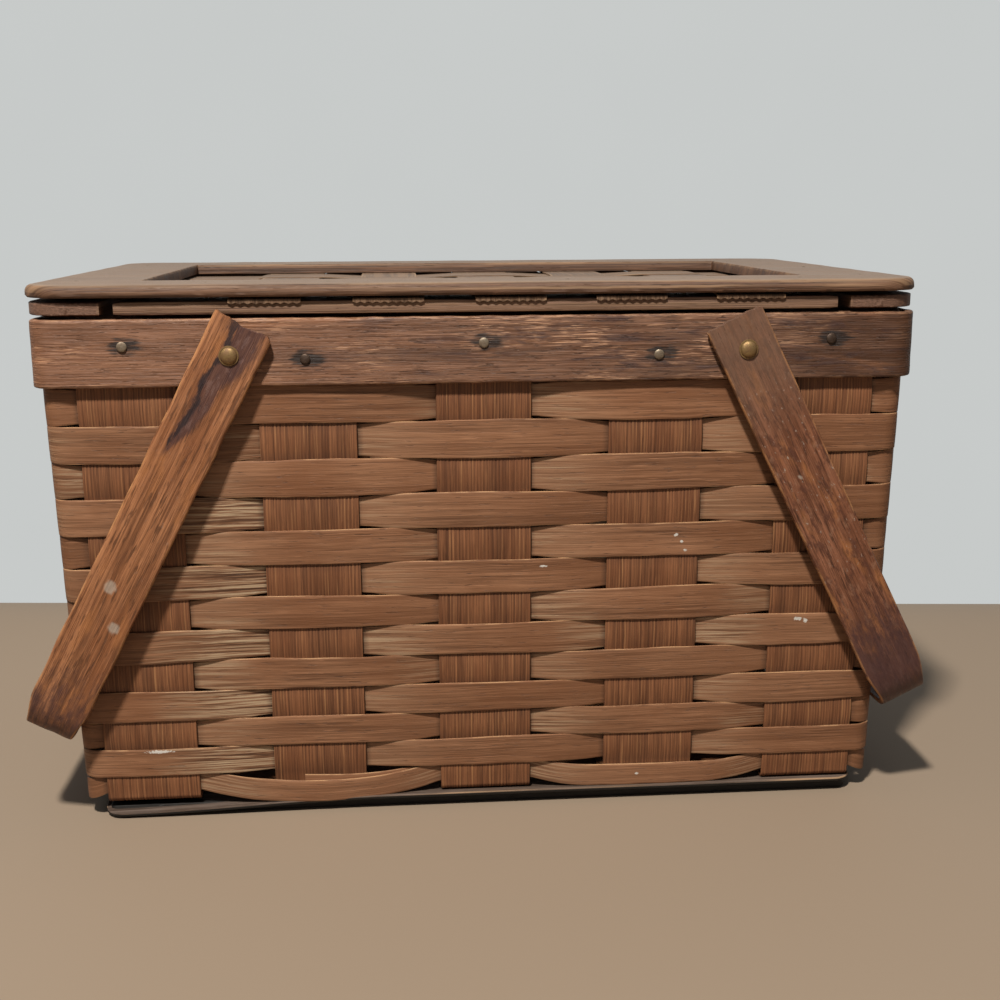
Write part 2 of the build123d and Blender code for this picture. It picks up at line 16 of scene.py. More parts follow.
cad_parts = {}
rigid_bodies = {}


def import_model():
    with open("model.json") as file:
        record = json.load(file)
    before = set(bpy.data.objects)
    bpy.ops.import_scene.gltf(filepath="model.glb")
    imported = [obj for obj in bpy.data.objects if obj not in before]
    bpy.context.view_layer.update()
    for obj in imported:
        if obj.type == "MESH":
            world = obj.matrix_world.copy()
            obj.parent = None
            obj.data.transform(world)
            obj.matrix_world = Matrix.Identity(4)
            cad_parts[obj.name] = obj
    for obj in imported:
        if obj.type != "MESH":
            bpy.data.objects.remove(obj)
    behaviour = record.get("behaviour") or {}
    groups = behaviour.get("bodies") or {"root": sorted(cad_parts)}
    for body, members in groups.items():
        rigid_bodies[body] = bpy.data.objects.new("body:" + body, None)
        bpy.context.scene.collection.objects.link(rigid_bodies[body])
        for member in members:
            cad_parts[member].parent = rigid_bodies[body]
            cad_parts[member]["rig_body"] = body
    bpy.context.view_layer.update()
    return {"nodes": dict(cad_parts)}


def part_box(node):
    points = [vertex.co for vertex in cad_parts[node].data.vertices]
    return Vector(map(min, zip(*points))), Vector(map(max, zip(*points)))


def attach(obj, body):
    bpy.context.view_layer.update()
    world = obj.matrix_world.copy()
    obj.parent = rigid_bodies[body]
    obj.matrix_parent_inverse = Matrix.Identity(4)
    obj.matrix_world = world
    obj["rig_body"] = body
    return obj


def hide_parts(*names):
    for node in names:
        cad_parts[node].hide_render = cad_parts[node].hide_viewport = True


bl_info = {
    "name": "Splint Picnic Basket",
    "version": (1, 0, 0),
    "blender": (4, 5, 0),
    "location": "View3D > Sidebar > Basket",
    "description": "Builds the woven basket's pieces and finishes round its frame",
    "category": "Object",
}

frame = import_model()
MM = 0.001
INNER_GRAIN = 0.37  # sets the grain of a strip's inner face apart from its outer one
FACE_SCALE = 40  # how fast the grain changes from one strip or face to the next
SHINE = "Specular IOR Level"


def low(node, axis):
    """The lowest coordinate of a frame node on an axis."""
    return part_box(node)[0][axis]


def high(node, axis):
    """The highest coordinate of a frame node on an axis."""
    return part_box(node)[1][axis]


def middle(node, axis):
    """The middle of a frame node on an axis."""
    return (low(node, axis) + high(node, axis)) / 2


def half_size(node, axis):
    """Half the size of a frame node on an axis."""
    return (high(node, axis) - low(node, axis)) / 2


def nodes_named(start):
    """The frame nodes whose names begin so, in order."""
    return sorted(node for node in frame["nodes"] if node.startswith(start))


# Settings

def measure(name, description, millimetres):
    """A property that holds a length."""
    return FloatProperty(
        name=name, description=description, default=millimetres * MM, unit="LENGTH", precision=5
    )


def angle(name, description, degrees):
    """A property that holds an angle."""
    return FloatProperty(name=name, description=description, default=radians(degrees), subtype="ANGLE")


def hue(name, description, default):
    """A property that holds a linear colour."""
    return FloatVectorProperty(
        name=name, description=description, default=default, subtype="COLOR", size=3, min=0, max=1
    )


class BasketWeave(bpy.types.PropertyGroup):
    """Sizes of the woven wall."""

    splint_thick: measure("Weaver thickness", "Thickness of a weaver", 1.2)
    stake_thick: measure("Stake thickness", "Thickness of an upright", 1.5)
    stake_flat: measure("Flat", "Half length over which a weaver lies flat", 25)
    sway: measure("Sway", "How far an upright gives way to the weavers", 0.8)
    row_gap: measure("Row gap", "Gap between two rows where they cross", 0.3)
    swell: measure("Swell", "How far a pass outside widens over its upright", 0.3)
    bulge: measure("Bulge", "How far a pass outside bows out", 0.6)
    wobble: measure("Wobble", "Unevenness of the lines between rows", 0.6)
    bottom_lift: measure("Bottom lift", "Rise of the bottom row where it passes inside", 4.6)
    rib_pitch: measure("Rib pitch", "Distance between an upright's ribs", 1.6)
    rib_depth: measure("Rib depth", "Depth of the grooves between ribs", 0.34)


class BasketHandles(bpy.types.PropertyGroup):
    """Sizes of the handles."""

    width: measure("Width", "Width of an arm", 31)
    grip_width: measure("Grip width", "Width of the grip", 26)
    thick: measure("Thickness", "Thickness of the bent strip", 4)
    bend_radius: measure("Bend radius", "Outer radius of the bends", 18)
    tail: measure("Tail", "Length of the arm past its rivet", 17.5)
    left_reach: measure("Left reach", "From the left rivets to the grip's outside", 223)
    right_reach: measure("Right reach", "From the right rivets to the grip's outside", 216)


class BasketLid(bpy.types.PropertyGroup):
    """Sizes of the lid."""

    corner_radius: measure("Corner radius", "Radius of the lid's corners", 24)
    window_length: measure("Window length", "Length of the window", 348)
    window_depth: measure("Window depth", "Depth of the window", 201)
    splint_thick: measure("Splint thickness", "Thickness of a lid splint", 1.0)
    scallops: IntProperty(name="Scallops", description="Scallops on a pinked end", default=9)
    scallop_depth: measure("Scallop depth", "Depth of the scallops", 0.7)


class BasketColours(bpy.types.PropertyGroup):
    """Colours of the finishes."""

    weaver: hue("Weaver", "Wood of the weavers", (0.232, 0.107, 0.052))
    stake: hue("Upright", "Wood of the uprights", (0.190, 0.073, 0.028))
    rim: hue("Rim", "Wood of the rim", (0.170, 0.082, 0.046))
    left_handle: hue("Left handle", "Wood of the left handle", (0.300, 0.122, 0.050))
    right_handle: hue("Right handle", "Wood of the right handle", (0.185, 0.070, 0.034))
    lid: hue("Lid", "Wood of the lid", (0.124, 0.060, 0.031))
    strip: hue("Lid strips", "Wood of the strips under the lid", (0.175, 0.093, 0.059))
    splint: hue("Lid splints", "Wood of the lid's splints", (0.150, 0.086, 0.048))
    board: hue("Board", "Wood of the bottom board", (0.090, 0.062, 0.047))
    steel: hue("Nails", "Old steel of the nails", (0.300, 0.245, 0.180))
    brass: hue("Brass", "Dull brass of rivets and hinges", (0.300, 0.195, 0.085))


class BasketStudio(bpy.types.PropertyGroup):
    """Camera and light."""

    camera_place: FloatVectorProperty(
        name="Camera place", description="Where the camera stands", subtype="TRANSLATION", size=3,
        default=(-0.0451, -0.8052, 0.3169),
    )
    camera_yaw: angle("Yaw", "Turn of the camera to the right", 4.58)
    camera_pitch: angle("Pitch", "Tilt of the camera downwards", 12.37)
    camera_roll: angle("Roll", "Roll of the camera", 0.26)
    camera_lens: FloatProperty(
        name="Lens", description="Focal length in millimetres on a 36 mm sensor", default=47.53
    )
    key_power: FloatProperty(
        name="Key", description="Power of the key light", default=66.0, subtype="POWER"
    )
    fill_strength: FloatProperty(name="Fill", description="Strength of the light all round", default=0.15)
    floor_colour: hue("Floor", "Colour of the floor", (0.262, 0.200, 0.144))
    wall_colour: hue("Backdrop", "Colour of the backdrop", (0.560, 0.580, 0.574))


class BasketSettings(bpy.types.PropertyGroup):
    """All settings of the basket."""

    weave: PointerProperty(type=BasketWeave, name="Weave", description="Sizes of the woven wall")
    handles: PointerProperty(type=BasketHandles, name="Handles", description="Sizes of the handles")
    lid: PointerProperty(type=BasketLid, name="Lid", description="Sizes of the lid")
    colours: PointerProperty(type=BasketColours, name="Colours", description="Colours of the finishes")
    studio: PointerProperty(type=BasketStudio, name="Studio", description="Camera and light")


def basket():
    """The scene's property groups."""
    return bpy.context.scene.basket


# Curves and meshes

def draws(label):
    """A random generator of a piece's own, the same at each run."""
    return np.random.default_rng([ord(letter) for letter in label])


def waves(run, span, ripple, amount, random):
    """Smooth uneven waves along a run, which meet again after its span."""
    most = max(3, int(span / ripple))
    total = np.zeros_like(run)
    for count in random.integers(max(1, most // 3), most + 1, 5):
        total = total + random.uniform(0.4, 1.0) * np.sin(2 * pi * (count * run / span + random.random()))
    return total * amount / 2


def ease(value, start, end):
    """A smooth step from 0 at the start to 1 at the end."""
    t = np.clip((value - start) / (end - start), 0, 1)
    return t * t * (3 - 2 * t)


def rounding(distance, radius):
    """How far a surface falls at a distance from a rounded edge."""
    inside = np.clip(radius - distance, 0, radius)
    return radius - np.sqrt(radius * radius - inside * inside)


def unit(vectors):
    """Vectors of length one."""
    return vectors / np.linalg.norm(vectors, axis=-1, keepdims=True)


def run_along(line):
    """The way covered along a line at each of its points."""
    return np.concatenate([[0.0], np.cumsum(np.linalg.norm(np.diff(line, axis=0), axis=1))])


def directions(line, closed=False):
    """The direction of a line of points at each of them."""
    return unit(np.roll(line, -1, 0) - np.roll(line, 1, 0) if closed else np.gradient(line, axis=0))


def outward(line, wide, centre):
    """The ways out of a bent strip's face, away from a centre."""
    out = unit(np.cross(directions(line), wide))
    return out * np.sign(np.sum(out * (line - np.array(centre)), axis=1).mean())


def laid(path, along, place):
    """The line of a path of (way, height) along X or Y, at a place on the other, and its width ways."""
    line, wide = np.zeros((2, len(path), 3))
    line[:, along], line[:, 1 - along], line[:, 2] = path[:, 0], place, path[:, 1]
    wide[:, 1 - along] = 1.0
    return line, wide


def columns(half_width, edge_steps, inner_steps):
    """Distances across a strip for each station, close together at its long edges."""
    half = np.atleast_1d(half_width)[:, None]
    near = half - np.array(edge_steps)[None, :]
    inner = (half - edge_steps[-1]) * np.linspace(1, -1, inner_steps + 2)[None, 1:-1]
    return np.concatenate([-near, -inner, near[:, ::-1]], axis=1)


def section(half, edge_steps, inner_steps, thick, ease_out, ease_in):
    """Across, outer face and inner face of a strip with eased long edges; steps in millimetres."""
    across = columns(half, np.array(edge_steps) * MM, inner_steps)
    edge = half[:, None] - np.abs(across)
    return across, thick / 2 - rounding(edge, ease_out), -thick / 2 + rounding(edge, ease_in)


def linked(name, data):
    """A new object of the scene."""
    made = bpy.data.objects.new(name, data)
    bpy.context.scene.collection.objects.link(made)
    return made


def creased(mesh, degrees):
    """Smooth faces, with a sharp crease past an angle."""
    mesh.shade_smooth()
    mesh.set_sharp_from_angle(angle=radians(degrees))


@contextmanager
def edited(mesh):
    """A mesh opened for changes to its parts."""
    work = bmesh.new()
    work.from_mesh(mesh)
    yield work
    work.to_mesh(mesh)
    work.free()


def mesh_object(name, points, faces, marks):
    """An object of smooth faces with sharp creases, with marks kept as attributes."""
    mesh = bpy.data.meshes.new(name)
    mesh.from_pydata(points.tolist(), [], faces.tolist())
    mesh.update()
    for label, values in marks.items():
        kind, field = ("FLOAT_VECTOR", "vector") if values.ndim == 2 else ("FLOAT", "value")
        attribute = mesh.attributes.new(label, kind, "POINT")
        attribute.data.foreach_set(field, np.ascontiguousarray(values, dtype=np.float32).ravel())
    creased(mesh, 42)
    return linked(name, mesh)


def strip_faces(stations, across, closed):
    """Faces of a strip whose upper and lower grids of points follow each other."""
    lower = stations * across
    i = np.arange(stations if closed else stations - 1)[:, None]
    j = np.arange(across - 1)[None, :]
    a, b = i * across + j, (i + 1) % stations * across + j
    left_a, left_b = a[:, :1], b[:, :1]
    right_a, right_b = left_a + across - 1, left_b + across - 1
    groups = [
        (a, b, b + 1, a + 1),
        (lower + a, lower + a + 1, lower + b + 1, lower + b),
        (left_a, left_a + lower, left_b + lower, left_b),
        (right_a, right_b, right_b + lower, right_a + lower),
    ]
    if not closed:
        end = (stations - 1) * across + j
        groups += [(j, j + 1, j + 1 + lower, j + lower), (end, end + lower, end + 1 + lower, end + 1)]
    return np.concatenate([np.stack(group, -1).reshape(-1, 4) for group in groups])


def ring_faces(rings, count, closed=False):
    """Faces between closed rings of points, and from the last ring to the first where closed."""
    i, j = np.arange(rings if closed else rings - 1)[:, None], np.arange(count)[None, :]
    above, after = (i + 1) % rings * count, (j + 1) % count
    return np.stack([i * count + j, i * count + after, above + after, above + j], -1).reshape(-1, 4)


def strip(name, course, shape, seed, closed=False, shift=0.0, marks=None):
    """A strip along a course (line, width ways, ways out), with its grain kept on its points.

    Its shape is (across, outer face, inner face); marks are given by station or by point.
    """
    (line, wide, out), (across, outer, inner) = course, shape
    forward = directions(line, closed)
    shift = np.zeros_like(across) + shift
    base = line[:, None, :] + across[..., None] * wide[:, None, :] + shift[..., None] * forward[:, None, :]
    points = [(base + face[..., None] * out[:, None, :]).reshape(-1, 3) for face in (outer, inner)]
    faces = strip_faces(*across.shape, closed)
    if np.sum(np.cross(forward, wide) * out) < 0:
        faces = faces[:, ::-1]
    run = run_along(line)[:, None] + shift
    grain = np.stack([run, across, np.full_like(across, seed)], -1).reshape(-1, 3)
    edge = np.abs(across).max(axis=1, keepdims=True) - np.abs(across)
    kept = {
        "grain": np.concatenate([grain, grain + [0, 0, INNER_GRAIN]]),
        "edge": np.tile(edge.ravel(), 2),
        "face": np.repeat([1.0, 0.0], across.size),
    }
    for label, values in (marks or {}).items():
        values = values[:, None] if values.ndim == 1 else values
        kept[label] = np.tile((values + np.zeros_like(across)).ravel(), 2)
    return mesh_object(name, np.concatenate(points), faces, kept)


def rounded_loop(half_x, half_y, radius, step):
    """A rounded rectangle from the middle of the back, leftwards: points, normals and run."""
    x, y = half_x - radius, half_y - radius
    arc_steps = max(6, ceil(radius * pi / 2 / step))
    points, normals = [], []
    place = np.array([0.0, half_y])
    for quarter, length in enumerate((x, 2 * y, 2 * x, 2 * y, x)):
        facing = (quarter + 1) * pi / 2
        way, ahead = (np.array([cos(facing + turn), sin(facing + turn)]) for turn in (0, pi / 2))
        steps = max(2, ceil(length / step))
        for k in range(steps):
            points.append(place + length * k / steps * ahead)
            normals.append(way)
        if quarter == 4:
            break
        centre = place + length * ahead - radius * way
        for k in range(arc_steps):
            turn = facing + pi / 2 * k / arc_steps
            normals.append(np.array([cos(turn), sin(turn)]))
            points.append(centre + radius * normals[-1])
        place = centre + radius * ahead
    points, normals = np.array(points), np.array(normals)
    steps = np.linalg.norm(np.roll(points, -1, 0) - points, axis=1)
    return points, normals, np.concatenate([[0.0], np.cumsum(steps)[:-1]]), steps.sum()


def bent_line(corners, radii, step):
    """A path of two coordinates with rounded corners, in stations about a step apart."""
    corners = np.array(corners, float)
    dense = [corners[0]]
    for before, here, after, radius in zip(corners, corners[1:], corners[2:], radii[1:]):
        into, away = unit(here - before), unit(after - here)
        turn = acos(max(-1.0, min(1.0, float(into @ away))))
        reach = min(np.linalg.norm(here - before), np.linalg.norm(after - here)) * 0.45
        setback = min(reach, radius * np.tan(turn / 2))
        start, end = here - into * setback, here + away * setback
        for t in np.linspace(0, 1, max(2, int(turn / radians(9))) + 1):
            dense.append((1 - t) ** 2 * start + 2 * t * (1 - t) * here + t * t * end)
    dense = np.array(dense + [corners[-1]])
    runs = run_along(dense)
    even = np.linspace(0, runs[-1], int(runs[-1] / step) + 1)
    stations = np.unique(np.round(np.concatenate([even, runs]), 6))
    stations = stations[np.concatenate([[True], np.diff(stations) > step * 0.12])]
    stations[-1] = runs[-1]
    return np.stack([np.interp(stations, runs, dense[:, c]) for c in (0, 1)], -1)


def lathe(name, profile, segments):
    """A turned shape about Z from a profile of radius and height, from bottom to top."""
    radius, height = np.array(profile, float).T[..., None]
    angles = np.arange(segments) * 2 * pi / segments
    points = np.stack([radius * np.cos(angles), radius * np.sin(angles), height + 0 * angles], -1)
    mesh = bpy.data.meshes.new(name)
    mesh.from_pydata(points.reshape(-1, 3).tolist(), [], ring_faces(len(profile), segments).tolist())
    with edited(mesh) as work:
        bmesh.ops.remove_doubles(work, verts=work.verts, dist=1e-6)
        bmesh.ops.recalc_face_normals(work, faces=work.faces)
    creased(mesh, 40)
    return bpy.data.objects.new(name, mesh)


def refined(node, width):
    """A copy of a frame node with merged points, joined flats and eased edges."""
    mesh = frame["nodes"][node].data.copy()
    mesh.name = node + "_eased"
    with edited(mesh) as work:
        bmesh.ops.remove_doubles(work, verts=work.verts, dist=1e-6)
        bmesh.ops.dissolve_limit(work, angle_limit=radians(1), verts=work.verts, edges=work.edges)
        sharp = [e for e in work.edges if len(e.link_faces) == 2 and e.calc_face_angle() > radians(40)]
        bmesh.ops.bevel(
            work, geom=sharp, offset=width, segments=2, profile=0.5, affect="EDGES", clamp_overlap=True
        )
    mesh.materials.clear()
    creased(mesh, 38)
    return linked(node + "_eased", mesh)


def finish_piece(piece, material, node):
    """The piece takes its finish and rides the body of a node."""
    piece.data.materials.clear()
    piece.data.materials.append(material)
    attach(piece, frame["nodes"][node]["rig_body"])


def settle(piece, material, node):
    """The piece takes its finish and stands for a node, on that node's body."""
    finish_piece(piece, material, node)
    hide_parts(node)


# Node trees

def feed(tree, socket, value):
    """A socket takes a link or a plain value."""
    value = value.socket if isinstance(value, Value) else value
    if isinstance(value, bpy.types.NodeSocket):
        tree.links.new(value, socket)
    else:
        socket.default_value = value


def add(tree, kind, settings=(), sockets=()):
    """A node of any kind: its settings first, then the values or links of its sockets."""
    made = tree.nodes.new(kind)
    for label, value in dict(settings).items():
        setattr(made, label, value)
    for label, value in dict(sockets).items():
        feed(tree, made.inputs[label], value)
    return made


class Value:
    """A number on a node's socket, for plain arithmetic."""

    def __init__(self, tree, socket):
        self.tree, self.socket = tree, socket

    def maths(self, operation, *values):
        """The result of a Math node on these values."""
        made = add(self.tree, "ShaderNodeMath", {"operation": operation}, dict(enumerate(values)))
        return Value(self.tree, made.outputs[0])

    def __add__(self, other):
        return self.maths("ADD", self, other)

    def __radd__(self, other):
        return self.maths("ADD", other, self)

    def __sub__(self, other):
        return self.maths("SUBTRACT", self, other)

    def __rsub__(self, other):
        return self.maths("SUBTRACT", other, self)

    def __mul__(self, other):
        return self.maths("MULTIPLY", self, other)

    def __rmul__(self, other):
        return self.maths("MULTIPLY", other, self)

    def __truediv__(self, other):
        return self.maths("DIVIDE", self, other)

    def __rtruediv__(self, other):
        return self.maths("DIVIDE", other, self)

    def __pow__(self, other):
        return self.maths("POWER", self, other)

    def __rpow__(self, other):
        return self.maths("POWER", other, self)

    def between(self, start, end):
        """0 below the start, 1 above the end and a smooth step between."""
        made = add(self.tree, "ShaderNodeMapRange", {"interpolation_type": "SMOOTHSTEP"}, {
            "Value": self, "From Min": start, "From Max": end,
        })
        return Value(self.tree, made.outputs["Result"])

    def held(self):
        """The number kept from 0 to 1."""
        return Value(self.tree, add(self.tree, "ShaderNodeClamp", (), {"Value": self}).outputs[0])


def node_tree(name, inputs):
    """A geometry tree with named inputs, given as (name, kind, default), and its input node's outputs."""
    tree = bpy.data.node_groups.new(name, "GeometryNodeTree")
    for label, kind, default in [("Geometry", "Geometry", None)] + inputs:
        socket = tree.interface.new_socket(label, in_out="INPUT", socket_type="NodeSocket" + kind)
        if default is not None:
            socket.default_value = default
    tree.interface.new_socket("Geometry", in_out="OUTPUT", socket_type="NodeSocketGeometry")
    return tree, add(tree, "NodeGroupInput").outputs


def tree_mark(tree, label, kind="FLOAT"):
    """An attribute of the mesh in a tree."""
    made = add(tree, "GeometryNodeInputNamedAttribute", {"data_type": kind}, {"Name": label})
    return Value(tree, made.outputs["Attribute"])


def finish_tree(tree, geometry, material):
    """The tree's end: instances made real and the material set."""
    real = add(tree, "GeometryNodeRealizeInstances", (), {"Geometry": geometry})
    painted = add(
        tree, "GeometryNodeSetMaterial", (), {"Geometry": real.outputs["Geometry"], "Material": material}
    )
    add(tree, "NodeGroupOutput", (), {"Geometry": painted.outputs["Geometry"]})
    return tree


def rib_tree():
    """Ribs along an upright: uneven grooves pressed into its outer face."""
    tree, start = node_tree("Upright ribs", [
        ("Pitch", "Float", 1.6 * MM), ("Depth", "Float", 0.34 * MM), ("Seed", "Float", 0.0),
        ("Material", "Material", None),
    ])
    pitch, depth, seed = (Value(tree, start[label]) for label in ("Pitch", "Depth", "Seed"))
    grain = tree_mark(tree, "grain", "FLOAT_VECTOR")
    parts = add(tree, "ShaderNodeSeparateXYZ", (), {"Vector": grain}).outputs
    along, across = Value(tree, parts["X"]), Value(tree, parts["Y"])
    course = add(tree, "ShaderNodeCombineXYZ", (), {"X": along * 9.0, "Y": across * 160.0, "Z": seed})
    fields = []
    for scale, detail in ((1.0, 2.0), (2.1, 1.0)):
        field = add(tree, "ShaderNodeTexNoise", (), {
            "Vector": course.outputs[0], "Scale": scale, "Detail": detail,
        })
        fields.append(Value(tree, field.outputs["Fac"]))
    drift, uneven = fields
    phase = (across / pitch + (drift * 2.4 + seed)) * (2 * pi)
    groove = (phase.maths("SINE", phase) * 0.5 + 0.5) ** 1.8 * (uneven * 1.3 + 0.1)
    off_edge = (tree_mark(tree, "edge") * (1 / (0.8 * MM))).held()
    pressed = groove * off_edge * tree_mark(tree, "face")
    kept = add(tree, "GeometryNodeStoreNamedAttribute", {"data_type": "FLOAT", "domain": "POINT"}, {
        "Geometry": start["Geometry"], "Name": "groove", "Value": groove,
    })
    normal = add(tree, "GeometryNodeInputNormal")
    offset = add(tree, "ShaderNodeVectorMath", {"operation": "SCALE"}, {
        "Vector": normal.outputs["Normal"], "Scale": pressed * depth * -1.0,
    })
    moved = add(tree, "GeometryNodeSetPosition", (), {
        "Geometry": kept.outputs["Geometry"], "Offset": offset.outputs[0],
    })
    return finish_tree(tree, moved.outputs["Geometry"], start["Material"])


def fastener_tree():
    """One fastener set on each point, turned the way its facing says, a little unevenly."""
    tree, start = node_tree("Fasteners", [
        ("Fastener", "Object", None), ("Size spread", "Float", 0.04), ("Twist", "Float", pi),
        ("Tilt", "Float", 0.05), ("Seed", "Int", 3), ("Material", "Material", None),
    ])

    def draw(lowest, highest, seed):
        sockets = {2: lowest, 3: highest, "Seed": seed}
        return add(tree, "FunctionNodeRandomValue", {"data_type": "FLOAT"}, sockets).outputs[1]

    points = add(tree, "GeometryNodeMeshToPoints", (), {"Mesh": start["Geometry"]})
    aim = add(tree, "FunctionNodeAlignRotationToVector", {"axis": "Z"}, {
        "Vector": tree_mark(tree, "facing", "FLOAT_VECTOR"),
    })
    turns = {}
    for axis, label, step in ((2, "Twist", 0.0), (0, "Tilt", 11.0), (1, "Tilt", 23.0)):
        spread = Value(tree, start[label])
        turns[axis] = draw(spread * -1.0, spread, Value(tree, start["Seed"]) + step)
    angles = add(tree, "ShaderNodeCombineXYZ", (), turns)
    own_turn = add(tree, "FunctionNodeEulerToRotation", (), {"Euler": angles.outputs[0]})
    turned = add(tree, "FunctionNodeRotateRotation", {"rotation_space": "LOCAL"}, {
        "Rotation": aim.outputs["Rotation"], "Rotate By": own_turn.outputs["Rotation"],
    })
    spread = Value(tree, start["Size spread"])
    shape = add(tree, "GeometryNodeObjectInfo", (), {"Object": start["Fastener"]})
    placed = add(tree, "GeometryNodeInstanceOnPoints", (), {
        "Points": points.outputs[0],
        "Instance": shape.outputs["Geometry"],
        "Rotation": turned.outputs["Rotation"],
        "Scale": draw(1.0 - spread, 1.0 + spread, start["Seed"]),
    })
    return finish_tree(tree, placed.outputs["Instances"], start["Material"])


def grown(piece, tree, values):
    """The piece takes a tree's result as its own plain mesh."""
    modifier = piece.modifiers.new(tree.name, "NODES")
    modifier.node_group = tree
    for item in tree.interface.items_tree:
        if item.item_type == "SOCKET" and item.in_out == "INPUT" and item.name in values:
            modifier[item.identifier] = values[item.name]
    view = bpy.context.evaluated_depsgraph_get()
    view.update()
    mesh = bpy.data.meshes.new_from_object(
        piece.evaluated_get(view), preserve_all_data_layers=True, depsgraph=view
    )
    piece.modifiers.remove(modifier)
    old = piece.data
    piece.data = mesh
    bpy.data.meshes.remove(old)


def fasteners(node, kind, tree, shape, spots, material, slot, seed, **varied):
    """Copies of a fastener at spots, given as (place, facing), which stand for a node."""
    places, facing = np.array(spots, float).transpose(1, 0, 2)
    piece = mesh_object(f"{node}_{kind}", places, np.zeros((0, 4), int), {"facing": facing})
    bpy.context.scene.collection.objects.link(shape)
    values = {"size_spread": 0.0, "twist": pi, "tilt": 0.0, **varied}
    values = {label.replace("_", " ").capitalize(): value for label, value in values.items()}
    grown(piece, tree, {"Fastener": shape, "Material": material, "Seed": seed, **values})
    mesh = shape.data
    bpy.data.objects.remove(shape)
    bpy.data.meshes.remove(mesh)
    settle(piece, material, node)


# Finishes

def paint(colour):
    """A colour as a socket takes it."""
    return colour if isinstance(colour, bpy.types.NodeSocket) else (*tuple(colour)[:3], 1.0)


def shade(colour, factor, warmth=0.0):
    """A colour made lighter or darker, and warmer or cooler."""
    r, g, b = tuple(colour)[:3]
    return (r * factor * (1 + warmth), g * factor, b * factor * (1 - warmth))


